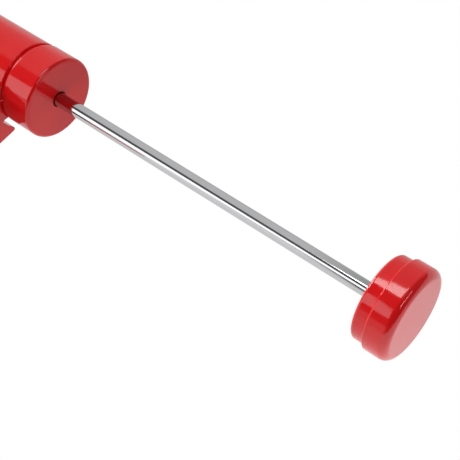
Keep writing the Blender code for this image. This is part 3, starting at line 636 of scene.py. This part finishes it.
def baked_red_enamel():
    """Sprayed and baked enamel on steel: the ABS's red, with orange peel about two millimetres across."""
    material, tree, shader, millimetres = new_material("baked_red_enamel")
    shader.inputs["IOR"].default_value = 1.5
    peel = add_node(tree, "TexNoise", {"Scale": 1 / 2.0, "Detail": 2.0}, {"Vector": millimetres})
    tones = {"data_type": "RGBA", 6: linear("DE1719"), 7: linear("E81A1D")}
    colour = add_node(tree, "Mix", tones, {0: peel.outputs["Fac"]})
    rub = add_node(
        tree, "TexNoise", {"Scale": 1 / 30.0, "Detail": 6.0, "Roughness": 0.7}, {"Vector": millimetres}
    )
    gloss_range = {"From Min": 0.35, "From Max": 0.7, "To Min": 0.08, "To Max": 0.2}
    gloss = add_node(tree, "MapRange", gloss_range, {"Value": rub.outputs["Fac"]})
    bump = add_node(
        tree, "Bump", {"Strength": 0.3, "Distance": 0.00003}, {"Height": peel.outputs["Fac"]}
    )
    feed(tree, shader, {"Base Color": colour.outputs[2], "Roughness": gloss.outputs["Result"]})
    feed(tree, shader, {"Normal": bump.outputs["Normal"]})
    return material


red_enamel = baked_red_enamel()
tube_low, tube_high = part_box("barrel_tube")
tube_front = tube_low.x - gun_origin.x
tube_rear = tube_high.x - gun_origin.x
tube_radius = (tube_high.z - tube_low.z) / 2
tube_bore = 25.5 * MM
barrel_outline = [
    (tube_front, tube_bore, 0.4 * MM),
    (tube_front, tube_radius, 0.6 * MM),
    (tube_rear, tube_radius, 0.4 * MM),
    (tube_rear, tube_bore, 0.4 * MM),
]
barrel = turned("barrel_tube_enamelled", filleted(barrel_outline), 200)
dress(barrel, red_enamel, "red_enamel", "body", "barrel_tube")
rivet_low, rivet_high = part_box("barrel_rivet_1")
rivet_x = (rivet_low.x + rivet_high.x) / 2 - gun_origin.x
rivet_radius = 1.6 * MM
rivet_head_radius = 3.2 * MM
for i in range(3):
    base = tube_radius + 0.05 * MM
    dome = [
        (base - 1.9 * MM, 0, 0),
        (base - 1.9 * MM, rivet_radius, 0),
        (base, rivet_radius, 0),
        (base, rivet_head_radius, 0.1 * MM),
        (base + 0.9 * MM, 2.4 * MM, 0.8 * MM),
        (base + 1.2 * MM, 0.8 * MM, 1.0 * MM),
        (base + 1.2 * MM, 0, 0),
    ]
    rivet = turned(f"barrel_rivet_dome_{i + 1}", filleted(dome, 5), 48)
    aim = Matrix.Translation(gun_origin) @ Matrix.Rotation(math.radians(90 + 120 * i), 4, "X")
    aim @= Matrix.Translation((rivet_x, 0, 0)) @ Matrix.Rotation(math.radians(90), 4, "Z")
    rivet.data.transform(aim @ Matrix.Translation(-gun_origin))
    dress(rivet, zinc_steel, "zinc_steel", "body", f"barrel_rivet_{i + 1}")

# ------------------------ Nozzle, seal and front ring
# The nozzle is a cone of natural polyethylene with a flat flange, and a rubber washer seals it on the
# barrel. A red ABS ring with moulded grip ribs screws over the barrel's front thread and holds both.

nozzle_low, nozzle_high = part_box("nozzle")
nozzle_tip = nozzle_low.x - gun_origin.x
flange_rear = nozzle_high.x - gun_origin.x
flange_front = flange_rear - 2.9 * MM
flange_radius = 25.0 * MM
nozzle_shoulder = flange_front - 4 * MM
nozzle_root_bore = 9.5 * MM


def natural_polyethylene():
    """Unpigmented polyethylene: milky and waxy, with light spreading inside it and faint turning
    marks of the tool round the cone."""
    material, tree, shader, millimetres = new_material("natural_polyethylene")
    shader.inputs["IOR"].default_value = 1.51
    shader.inputs["Subsurface Weight"].default_value = 0.35
    shader.inputs["Subsurface Scale"].default_value = 0.004
    shader.inputs["Subsurface Radius"].default_value = (1.0, 0.9, 0.75)
    cloud = add_node(tree, "TexNoise", {"Scale": 1 / 8.0, "Detail": 3.0}, {"Vector": millimetres})
    tones = {"data_type": "RGBA", 6: linear("E4E1D6"), 7: linear("EFEDE6")}
    colour = add_node(tree, "Mix", tones, {0: cloud.outputs["Fac"]})
    rings = add_node(
        tree,
        "TexWave",
        {"bands_direction": "X", "Scale": 0.314 / 1.2, "Distortion": 0.3},
        {"Vector": millimetres},
    )
    bump = add_node(
        tree, "Bump", {"Strength": 0.2, "Distance": 0.00003}, {"Height": rings.outputs["Fac"]}
    )
    gloss_range = {"From Min": 0.3, "From Max": 0.7, "To Min": 0.3, "To Max": 0.4}
    gloss = add_node(tree, "MapRange", gloss_range, {"Value": cloud.outputs["Fac"]})
    feed(tree, shader, {"Base Color": colour.outputs[2], "Roughness": gloss.outputs["Result"]})
    feed(tree, shader, {"Normal": bump.outputs["Normal"]})
    return material


def nitrile_rubber():
    """Cut nitrile sheet: nearly black and dull, with a fine talc bloom."""
    material, tree, shader, millimetres = new_material("nitrile_rubber")
    shader.inputs["Roughness"].default_value = 0.7
    bloom = add_node(tree, "TexNoise", {"Scale": 1 / 1.5, "Detail": 5.0}, {"Vector": millimetres})
    tones = {"data_type": "RGBA", 6: linear("191919"), 7: linear("2B2A29")}
    colour = add_node(tree, "Mix", tones, {0: bloom.outputs["Fac"]})
    tree.links.new(colour.outputs[2], shader.inputs["Base Color"])
    return material


nozzle_outline = [
    (flange_rear, nozzle_root_bore, 0.3 * MM),
    (flange_rear, flange_radius, 0.5 * MM),
    (flange_front, flange_radius, 0.5 * MM),
    (flange_front, 15.8 * MM, 1.2 * MM),
    (nozzle_shoulder, 11.8 * MM, 3.0 * MM),
    (nozzle_tip, 5.1 * MM, 0.6 * MM),
    (nozzle_tip, 3.3 * MM, 0.2 * MM),
    (nozzle_shoulder, nozzle_root_bore, 2.0 * MM),
]
nozzle = turned("nozzle_cone", filleted(nozzle_outline), 128)
dress(nozzle, natural_polyethylene(), "natural_nozzle", "nozzle_set", "nozzle")
keep(nitrile_rubber(), "nozzle_seal")

ring_low, ring_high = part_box("front_ring")
ring_front = ring_low.x - gun_origin.x
ring_rear = ring_high.x - gun_origin.x
ring_radius = (ring_high.z - ring_low.z) / 2
ring_lip = 3.2 * MM
ring_opening = 20.0 * MM
ring_ribs = 24
ring_edge = 1.2 * MM
rib_depth = 1.1 * MM
rib_run_out = 3.0 * MM


def ribbed_ring(x, radius, depth):
    """Points round the ring's outside: wide ribs with round valleys between them."""
    points = []
    for i in range(ring_ribs * 12):
        angle = 2 * math.pi * i / (ring_ribs * 12)
        valley = max(0.0, -math.cos(angle * ring_ribs)) ** 2
        reach = radius - depth * valley
        points.append((x, reach * math.cos(angle), reach * math.sin(angle)))
    return points


def ring_end(face, inwards):
    """Sections from the ring's end face over its rounded edge, and down to the ribs' full depth."""
    sections = []
    for k in range(7):
        turn = math.pi / 2 * k / 6
        x = face + inwards * ring_edge * (1 - math.cos(turn))
        sections.append(ribbed_ring(x, ring_radius - ring_edge * (1 - math.sin(turn)), 0))
    for k in range(6):
        x = face + inwards * (ring_edge + rib_run_out * k / 5 + 0.3 * MM)
        sections.append(ribbed_ring(x, ring_radius, rib_depth * k / 5))
    return sections


ring_sections = ring_end(ring_rear, -1) + ring_end(ring_front, 1)[::-1]
ring = lofted("front_ring_ribbed", ring_sections)
bore = [
    (ring_front - MM, 0, 0),
    (ring_front - MM, ring_opening, 0),
    (ring_front + ring_lip, ring_opening, 0.4 * MM),
    (ring_front + ring_lip, tube_radius + running_gap, 0),
    (ring_rear + MM, tube_radius + running_gap, 0),
    (ring_rear + MM, 0, 0),
]
combine(ring, "DIFFERENCE", turned("ring_bore", filleted(bore)))
dress(ring, red_abs, "red_abs", "ring", "front_ring")

# ------------------------ Plunger rod and piston
# A 9.4 mm round steel rod, ground and hard-chromed, with a turned-down tail at the front for the
# piston: two pressed plates and a nylon cup between two nuts, all inside the barrel.

rod_radius = (rod_high.z - rod_low.z) / 2
rod_front = rod_low.x - gun_origin.x
rod_stud_end = rod_high.x - gun_origin.x
rod_tail_start = -118.0 * MM
rod_tail_radius = 3.7 * MM
rod_shoulder = rod_stud_end - 11.2 * MM
stud_radius = 3.0 * MM


def polished_chrome():
    """Hard chrome on a ground bar: a cold mirror, with the faint lengthwise lines that the belt
    leaves. The lines are drawn 0.8 mm apart, coarser than real, so that they show."""
    material, tree, shader, millimetres = new_material("polished_chrome")
    shader.inputs["Metallic"].default_value = 1.0
    shader.inputs["Base Color"].default_value = linear("C8C8CA")
    stretched = add_node(
        tree,
        "VectorMath",
        {"operation": "MULTIPLY", 1: (1 / 60.0, 1 / 0.8, 1 / 0.8)},
        {0: millimetres},
    )
    lines = add_node(tree, "TexNoise", {"Scale": 1.0, "Detail": 2.0}, {"Vector": stretched.outputs[0]})
    gloss_range = {"From Min": 0.35, "From Max": 0.65, "To Min": 0.035, "To Max": 0.09}
    gloss = add_node(tree, "MapRange", gloss_range, {"Value": lines.outputs["Fac"]})
    bump = add_node(
        tree, "Bump", {"Strength": 0.12, "Distance": 0.00001}, {"Height": lines.outputs["Fac"]}
    )
    feed(tree, shader, {"Roughness": gloss.outputs["Result"], "Normal": bump.outputs["Normal"]})
    return material


rod_outline = [
    (rod_front, 0, 0),
    (rod_front, rod_tail_radius, 0.8 * MM),
    (rod_tail_start, rod_tail_radius, 0.3 * MM),
    (rod_tail_start, rod_radius, 0.4 * MM),
    (rod_shoulder, rod_radius, 0.3 * MM),
    (rod_shoulder, stud_radius, 0.2 * MM),
    (rod_stud_end, stud_radius, 0.5 * MM),
    (rod_stud_end, 0, 0),
]
rod = turned("plunger_rod_chromed", filleted(rod_outline), 96)
dress(rod, polished_chrome(), "chrome_rod", "rod", "plunger_rod")
keep(zinc_steel, "piston_plate_back", "piston_plate_front", "piston_nut_back", "piston_nut_front")
keep(nylon, "piston_cup")

# ------------------------ Pull knob
# Two red ABS mouldings on the rod's stud: a base disc with a soft front edge, and a wider cap with a
# large rear radius that snaps over it and hides the nut.

base_low, base_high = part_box("knob_base")
knob_low, knob_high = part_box("knob_cap")
knob_front = base_low.x - gun_origin.x
knob_split = knob_low.x - gun_origin.x
knob_rear = knob_high.x - gun_origin.x
knob_base_radius = (base_high.z - base_low.z) / 2
knob_radius = (knob_high.z - knob_low.z) / 2
knob_base_edge = 2.0 * MM
knob_rear_edge = 5.1 * MM
knob_cavity = 24.5 * MM
snap_bore = 20.0 * MM
snap_depth = 4.0 * MM
base_rear = knob_split - 0.1 * MM
knob_base_outline = [
    (knob_front, rod_radius + running_gap, 0.4 * MM),
    (knob_front, knob_base_radius, knob_base_edge),
    (base_rear, knob_base_radius, 0.15 * MM),
    (base_rear, knob_cavity - running_gap, 0),
    (base_rear + snap_depth, knob_cavity - running_gap, 0.4 * MM),
    (base_rear + snap_depth, snap_bore, 0.4 * MM),
    (base_rear, snap_bore, 0),
    (base_rear, stud_radius + running_gap, 0),
    (rod_shoulder + running_gap, stud_radius + running_gap, 0),
    (rod_shoulder + running_gap, rod_radius + running_gap, 0),
]
knob_base = turned("knob_base_moulding", filleted(knob_base_outline, 8), 192)
dress(knob_base, red_abs, "red_abs", "rod", "knob_base")
cavity_end = knob_split + 10 * MM
knob_cap_outline = [
    (knob_split, knob_cavity, 0.3 * MM),
    (knob_split, knob_radius, 1.0 * MM),
    (knob_rear, knob_radius, knob_rear_edge),
    (knob_rear, 0, 0),
    (cavity_end, 0, 0),
    (cavity_end, knob_cavity - 2 * MM, 2.0 * MM),
    (cavity_end - 3 * MM, knob_cavity, 0.5 * MM),
]
knob_cap = turned("knob_cap_moulding", filleted(knob_cap_outline, 12), 192)
dress(knob_cap, red_abs, "red_abs", "rod", "knob_cap")
keep(zinc_steel, "knob_nut")

# ------------------------ Trigger
# A blanked steel lever on a pin in the handle's head. Its nose pushes the drive plates, and a red ABS
# finger blade with a hooked end is riveted over its lower arm.

trigger_angle = math.radians(24)
arm_length = 84.0 * MM
arm_root = 4.6 * MM
arm_tip = 3.6 * MM
arm_half_thickness = 2.0 * MM
hub_radius = 5.4 * MM
nose_reach = 24.45 * MM
nose_angle = math.radians(11)
nose_radius = 3.5 * MM
blade_start = 35.0 * MM
blade_end = 94.0 * MM
blade_half_width = 9.0 * MM
blade_half_depth = 6.0 * MM
hook_reach = 7.0 * MM
hook_start = 0.62
blade_end_edge = 2.2 * MM
finger_hollow = 0.9 * MM
rivet_reaches = (48.0 * MM, 76.0 * MM)
arm_heading = Vector((-math.sin(trigger_angle), -math.cos(trigger_angle)))
arm_across = Vector((arm_heading.y, -arm_heading.x))


def link(name, start, start_radius, end, end_radius, half_width, edge):
    """A flat lever with round ends between two points, its edges eased."""
    run = end - start
    heading = math.atan2(run.y, run.x)
    lean = math.asin((start_radius - end_radius) / run.length)
    outline = []
    for centre, radius, first, last in (
        (end, end_radius, -math.pi / 2 + lean, math.pi / 2 - lean),
        (start, start_radius, math.pi / 2 - lean, 3 * math.pi / 2 + lean),
    ):
        for k in range(25):
            angle = heading + first + (last - first) * k / 24
            outline.append(centre + Vector((math.cos(angle), math.sin(angle))) * radius)
    return round_ended(name, outline, -half_width, half_width, edge, along_z, 3)


nose = trigger_pivot + Vector((math.sin(nose_angle), math.cos(nose_angle))) * nose_reach
arm_end = trigger_pivot + arm_heading * arm_length
arm = link("trigger_lever", trigger_pivot, arm_root, arm_end, arm_tip, arm_half_thickness, 0.3 * MM)
upper = link("upper", trigger_pivot, 4 * MM, nose, 2.5 * MM, arm_half_thickness + 0.5 * MM, 0.3 * MM)
combine(arm, "UNION", upper)
hub = standing("hub", bar(-hub_half_width, hub_half_width, hub_radius), trigger_pivot)
combine(arm, "UNION", hub)
half_nose = arm_half_thickness + MM
combine(arm, "UNION", standing("knuckle", bar(-half_nose, half_nose, nose_radius), nose))
hole = bar(-8 * MM, 8 * MM, pin_radius + running_gap)
combine(arm, "DIFFERENCE", standing("arm_hole", hole, trigger_pivot))

# The blade's front has two shallow hollows for the fingers, and its lower end hooks forward.
blade_rings = []
blade_steps = 60
for i in range(blade_steps + 1):
    share = i / blade_steps
    reach = blade_start + (blade_end - blade_start) * share
    hook = hook_reach * max(0.0, share - hook_start) / (1 - hook_start)
    hollow = finger_hollow * math.sin(math.pi * min(1.0, share / 0.9) * 2) ** 2
    end_round = min(1.0, share / 0.05, (1 - share) / 0.06)
    shrink = blade_end_edge * (1 - math.sqrt(1 - (1 - end_round) ** 2))
    centre = trigger_pivot + arm_heading * reach + arm_across * hook * max(0.0, share - 0.3)
    ring_points = []
    for k in range(48):
        angle = 2 * math.pi * k / 48
        depth = blade_half_depth - shrink - (hollow if math.cos(angle) > 0 else 0)
        out = signed_power(math.cos(angle), 0.7) * depth
        side = signed_power(math.sin(angle), 0.7) * (blade_half_width - shrink)
        point = centre + arm_across * out
        ring_points.append((point.x, point.y, side))
    blade_rings.append(ring_points)
blade = lofted("trigger_finger_blade", blade_rings)
pocket = link(
    "pocket",
    trigger_pivot,
    arm_root + running_gap,
    arm_end,
    arm_tip + running_gap,
    arm_half_thickness + running_gap,
    0.1 * MM,
)
combine(blade, "DIFFERENCE", pocket)
for i, reach in enumerate(rivet_reaches):
    spot = trigger_pivot + arm_heading * reach
    hole = bar(-12 * MM, 12 * MM, rivet_radius + running_gap)
    for target in (blade, arm):
        combine(target, "DIFFERENCE", standing("rivet_hole", hole, spot))
    top = blade_half_width + 0.05 * MM
    head = [(top, rivet_radius, 0), (top, 2.6 * MM, 0.1 * MM), (top + 0.7 * MM, 1.9 * MM, 0.6 * MM)]
    head += [(top + MM, 0.6 * MM, 0.8 * MM), (top + MM, 0, 0)]
    profile = filleted([(-z, r, f) for z, r, f in reversed(head)] + head, 5)
    rivet = standing(f"trigger_rivet_dome_{i + 1}", profile, spot, 48)
    dress(rivet, zinc_steel, "zinc_steel", "trigger", f"trigger_rivet_{i + 1}")
dress(arm, zinc_steel, "zinc_steel", "trigger", "trigger_arm")
dress(blade, red_abs, "red_abs", "trigger", "trigger_blade")

# ------------------------ Drive plates and drive spring
# Two hardened steel plates that tip and bite on the rod as the trigger pushes them, and the coiled
# spring-steel wire in front that pushes them back. All of it is inside the housing.


def oiled_spring_steel():
    """Drawn and oiled spring wire: dark, with the faint lengthwise streaks of the drawing die."""
    material, tree, shader, millimetres = new_material("oiled_spring_steel")
    shader.inputs["Metallic"].default_value = 1.0
    streak = add_node(tree, "TexNoise", {"Scale": 1 / 0.6, "Detail": 4.0}, {"Vector": millimetres})
    tones = {"data_type": "RGBA", 6: linear("6B6B6D"), 7: linear("8C8B89")}
    colour = add_node(tree, "Mix", tones, {0: streak.outputs["Fac"]})
    gloss_range = {"From Min": 0.3, "From Max": 0.7, "To Min": 0.25, "To Max": 0.4}
    gloss = add_node(tree, "MapRange", gloss_range, {"Value": streak.outputs["Fac"]})
    feed(tree, shader, {"Base Color": colour.outputs[2], "Roughness": gloss.outputs["Result"]})
    return material


def coil(name, low, high, radius, wire, turns):
    """A compression spring about the rod's axis, as one swept wire."""
    per_turn = 40
    sides = 12
    steps = turns * per_turn
    sections = []
    for i in range(steps + 1):
        share = i / steps
        angle = 2 * math.pi * i / per_turn
        x = low + wire + (high - low - 2 * wire) * share
        outward = Vector((0, math.cos(angle), math.sin(angle)))
        centre = Vector((x, 0, 0)) + outward * radius
        ring_points = []
        for k in range(sides):
            turn = 2 * math.pi * k / sides
            offset = outward * math.cos(turn) + Vector((math.sin(turn), 0, 0))
            ring_points.append(centre + offset * wire)
        sections.append(ring_points)
    return lofted(name, sections)


spring_steel = oiled_spring_steel()
keep(zinc_steel, "drive_plate_1", "drive_plate_2")
# (name, node, body of its rear end, coil radius, wire radius, turns)
springs = (
    ("drive_spring_coil", "drive_spring", "drive", 8.5 * MM, 0.9 * MM, 6),
    ("release_spring_coil", "release_spring", "release", 7.2 * MM, 0.6 * MM, 4),
)
for name, node, body, radius, wire, turns in springs:
    low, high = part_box(node)
    spring = coil(name, low.x - gun_origin.x, high.x - gun_origin.x, radius, wire, turns)
    finish_surface(spring, 60)
    spring.data.materials.append(spring_steel)
    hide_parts(node)
    start = Vector((low.x, gun_origin.y, gun_origin.z))
    end = Vector((high.x, gun_origin.y, gun_origin.z))
    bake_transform(spring)

# ------------------------ Release plate and thumb pad
# The brake plate hangs in the housing, leaning back on its spring so that it bites on the rod. Its
# tongue comes out of the handle's back and carries a ribbed black nylon pad for the thumb.

keep(zinc_steel, "release_plate")
release_pivot = Vector((-36.0, 21.5)) * MM
release_tilt = math.radians(5)
pad_front = 12.2 * MM
pad_depth = 6.0 * MM
pad_top = 72.0 * MM
pad_bottom = 90.0 * MM
pad_half_width = 8.0 * MM
pad_corner = 2.5 * MM
pad_edge = 1.5 * MM
groove_half_width = 6.2 * MM
groove_pitch = 3.0 * MM
groove_width = 1.2 * MM
groove_depth = 0.8 * MM
tongue_drop = 80.4 * MM
tongue_thickness = 2.4 * MM
tongue_half_width = 4.7 * MM
tongue_end = 15.5 * MM


def across_pad(point, height):
    """Places a point of the pad's outline in the release plate's tilted frame."""
    flat = Matrix.Rotation(release_tilt, 2) @ Vector((height, point.y)) + release_pivot
    return (flat.x, flat.y, point.x)


pad_outline = rectangle(-pad_half_width, pad_half_width, -pad_bottom, -pad_top, pad_corner)
pad_face = pad_front + pad_depth
pad = round_ended("release_thumb_pad", pad_outline, pad_front, pad_face, pad_edge, across_pad)
for k in range(5):
    top = -pad_top - groove_pitch * (k + 1) + groove_width / 2
    groove = rectangle(-groove_half_width, groove_half_width, top - groove_width, top, 0.4 * MM, 3)
    rings = [[across_pad(p, h) for p in groove] for h in (pad_face - groove_depth, pad_face + MM)]
    combine(pad, "DIFFERENCE", lofted("groove", rings))
pocket = rectangle(
    -tongue_half_width - running_gap,
    tongue_half_width + running_gap,
    -tongue_drop - running_gap,
    -tongue_drop + tongue_thickness + running_gap,
)
rings = [[across_pad(p, h) for p in pocket] for h in (0, tongue_end + running_gap)]
combine(pad, "DIFFERENCE", lofted("tongue_pocket", rings))
dress(pad, nylon, "black_nylon", "release", "release_pad")

# ------------------------ Floor and light
# A white table in a studio. A small bright soft box hangs over the knob, and a long one stands in front
# of the handle. The room is pale to the barrel's side, dark behind the knob, and dark between the boxes.


def white_table():
    """A light table: milk glass lit from below, brighter on the handle's side than behind the gun.
    The lens sees it as pure white."""
    material, tree, shader, millimetres = new_material("white_table")
    shader.inputs["Roughness"].default_value = 0.6
    shader.inputs["Base Color"].default_value = (0.12, 0.12, 0.12, 1)
    shader.inputs["Emission Color"].default_value = (1, 1, 1, 1)
    mottle = add_node(tree, "TexNoise", {"Scale": 1 / 120.0, "Detail": 2.0}, {"Vector": millimetres})
    place_on_table = add_node(tree, "SeparateXYZ", None, {0: millimetres})
    uneven = add_node(
        tree,
        "Math",
        {"operation": "MULTIPLY_ADD", 1: 30.0},
        {0: mottle.outputs["Fac"], 2: place_on_table.outputs["Y"]},
    )
    behind_gun_range = {"From Min": 60.0, "From Max": 150.0, "To Min": 0.80, "To Max": 0.45}
    behind_gun = add_node(tree, "MapRange", behind_gun_range, {"Value": uneven.outputs[0]})
    by_knob_range = {"From Min": 320.0, "From Max": 390.0, "To Min": 0.0, "To Max": 0.35}
    by_knob = add_node(tree, "MapRange", by_knob_range, {"Value": place_on_table.outputs["X"]})
    glow = add_node(
        tree,
        "Math",
        {"operation": "ADD"},
        {0: behind_gun.outputs["Result"], 1: by_knob.outputs["Result"]},
    )
    tree.links.new(glow.outputs[0], shader.inputs["Emission Strength"])
    white = add_node(tree, "Emission", {"Color": (1, 1, 1, 1), "Strength": 1.0})
    seen = add_node(tree, "LightPath").outputs["Is Camera Ray"]
    both = add_node(tree, "MixShader", None, {0: seen, 1: shader.outputs[0], 2: white.outputs[0]})
    tree.links.new(both.outputs[0], tree.nodes["Material Output"].inputs["Surface"])
    return material


floor_mesh = bmesh.new()
bmesh.ops.create_grid(floor_mesh, x_segments=1, y_segments=1, size=6.0)
floor_data = bpy.data.meshes.new("table")
floor_mesh.to_mesh(floor_data)
floor_mesh.free()
floor = bpy.data.objects.new("table", floor_data)
floor.location.z = cad_low.z - 0.4 * MM
floor_data.materials.append(white_table())
bpy.context.scene.collection.objects.link(floor)


def soft_box(name, centre, aim, along, width, height, radiance):
    """An area light with its width along a direction. Reflections show it and the camera doesn't."""
    data = bpy.data.lights.new(name, "AREA")
    data.shape = "RECTANGLE"
    data.size = width
    data.size_y = height
    data.energy = radiance * math.pi * width * height
    back = (Vector(centre) - Vector(aim)).normalized()
    side = (Vector(along) - Vector(along).dot(back) * back).normalized()
    turn = Matrix((side, back.cross(side), back)).transposed()
    lamp = bpy.data.objects.new(name, data)
    lamp.matrix_world = Matrix.Translation(gun_origin + Vector(centre)) @ turn.to_4x4()
    lamp.visible_camera = False
    bpy.context.scene.collection.objects.link(lamp)


soft_box("long_box", (-0.52, -0.84, 0.74), (0.1, 0, 0), (0.745, 0.01, 0.35), 1.14, 0.56, 1.7)
soft_box("top_box", (0.03, 0.19, 1.0), (0.2, 0, 0), (0.92, -0.38, 0), 0.18, 0.50, 6.3)
soft_box("front_box", (-1.8, 0.1, 1.0), (0, 0, 0), (0, 1, 0), 0.9, 0.9, 9.5)
soft_box("back_box", (1.0, 0.08, 0.8), (0, 0, 0), (0, 1, 0), 0.8, 0.10, 7.0)

world = bpy.data.worlds.new("studio_room")
bpy.context.scene.world = world
world.use_nodes = True
room = world.node_tree
heading = add_node(room, "TexCoord").outputs["Generated"]
parts = add_node(room, "SeparateXYZ", None, {0: heading})
lean = add_node(
    room, "Math", {"operation": "ARCTAN2"}, {0: parts.outputs["Y"], 1: parts.outputs["Z"]}
)
degrees = add_node(room, "Math", {"operation": "DEGREES"}, {0: lean.outputs[0]})
# (lean from overhead in degrees, minus towards the handle, brightness of the room there)
room_levels = ((-180, 0.75), (-76, 0.75), (-70, 0.1), (-64, 0.1))
room_levels += ((-60, 0.09), (-5, 0.09), (-1, 0.56), (180, 0.56))
along_rod = parts.outputs["X"]
lean_angle = degrees.outputs[0]
# (name, what it follows, where it starts and ends, its value at the start and at the end)
room_ramps = [
    (f"rise_{i}", lean_angle, start[0], end[0], 0.0, end[1] - start[1])
    for i, (start, end) in enumerate(zip(room_levels, room_levels[1:]))
]
room_ramps += [
    ("front_glow", along_rod, -0.95, -0.66, 2.05, 0.85),
    ("band_start", along_rod, -0.63, -0.57, 0.0, 1.0),
    ("band_end", along_rod, -0.36, -0.30, 1.0, 0.0),
    ("low_side", lean_angle, -66.0, -60.0, 1.05, 0.0),
    ("back_shade", along_rod, 0.0, 0.25, 1.0, 0.2),
]
ramps = {}
for name, source, start, end, first, last in room_ramps:
    settings = {"From Min": start, "From Max": end, "To Min": first, "To Max": last}
    ramps[name] = add_node(room, "MapRange", settings, {"Value": source}).outputs["Result"]
add = {"operation": "ADD"}
multiply = {"operation": "MULTIPLY"}
first_level = {"operation": "ADD", 1: room_levels[0][1]}
level = add_node(room, "Math", first_level, {0: ramps["rise_0"]}).outputs[0]
for i in range(1, len(room_levels) - 1):
    level = add_node(room, "Math", add, {0: level, 1: ramps[f"rise_{i}"]}).outputs[0]
# The room glows more in front of the gun, and again in a band across the rod's reflections.
band_ends = {0: ramps["band_start"], 1: ramps["band_end"]}
band = add_node(room, "Math", multiply, band_ends).outputs[0]
band_gain = {"operation": "MULTIPLY_ADD", 1: 0.48}
glow = add_node(room, "Math", band_gain, {0: band, 2: ramps["front_glow"]}).outputs[0]
level = add_node(room, "Math", multiply, {0: level, 1: glow}).outputs[0]
# Low down on the handle's side the band alone lights it, and behind the gun it fades.
low_band = add_node(room, "Math", multiply, {0: ramps["low_side"], 1: band}).outputs[0]
level = add_node(room, "Math", {"operation": "MAXIMUM"}, {0: level, 1: low_band}).outputs[0]
level = add_node(room, "Math", multiply, {0: level, 1: ramps["back_shade"]}).outputs[0]
seen = add_node(room, "LightPath").outputs["Is Camera Ray"]
strength = add_node(room, "Mix", {"data_type": "FLOAT", 3: 1.0}, {0: seen, 2: level})
room.links.new(strength.outputs[0], room.nodes["Background"].inputs["Strength"])
room.nodes["Background"].inputs["Color"].default_value = (1, 1, 1, 1)

bpy.context.scene.view_settings.view_transform = "Standard"

# ------------------------ Camera
# Above and behind the gun, to the handle's side, with a long lens that looks down along the rod.

camera_data = bpy.data.cameras.new("camera")
camera_data.lens = 82.13
camera_data.sensor_width = 36.0
camera = bpy.data.objects.new("camera", camera_data)
camera.location = gun_origin + Vector((413.66, -227.96, 504.93)) * MM
camera.rotation_euler = Euler([math.radians(a) for a in (32.955, 7.089, 39.581)])
camera_data.clip_end = 20.0
bpy.context.scene.collection.objects.link(camera)
bpy.context.scene.camera = camera
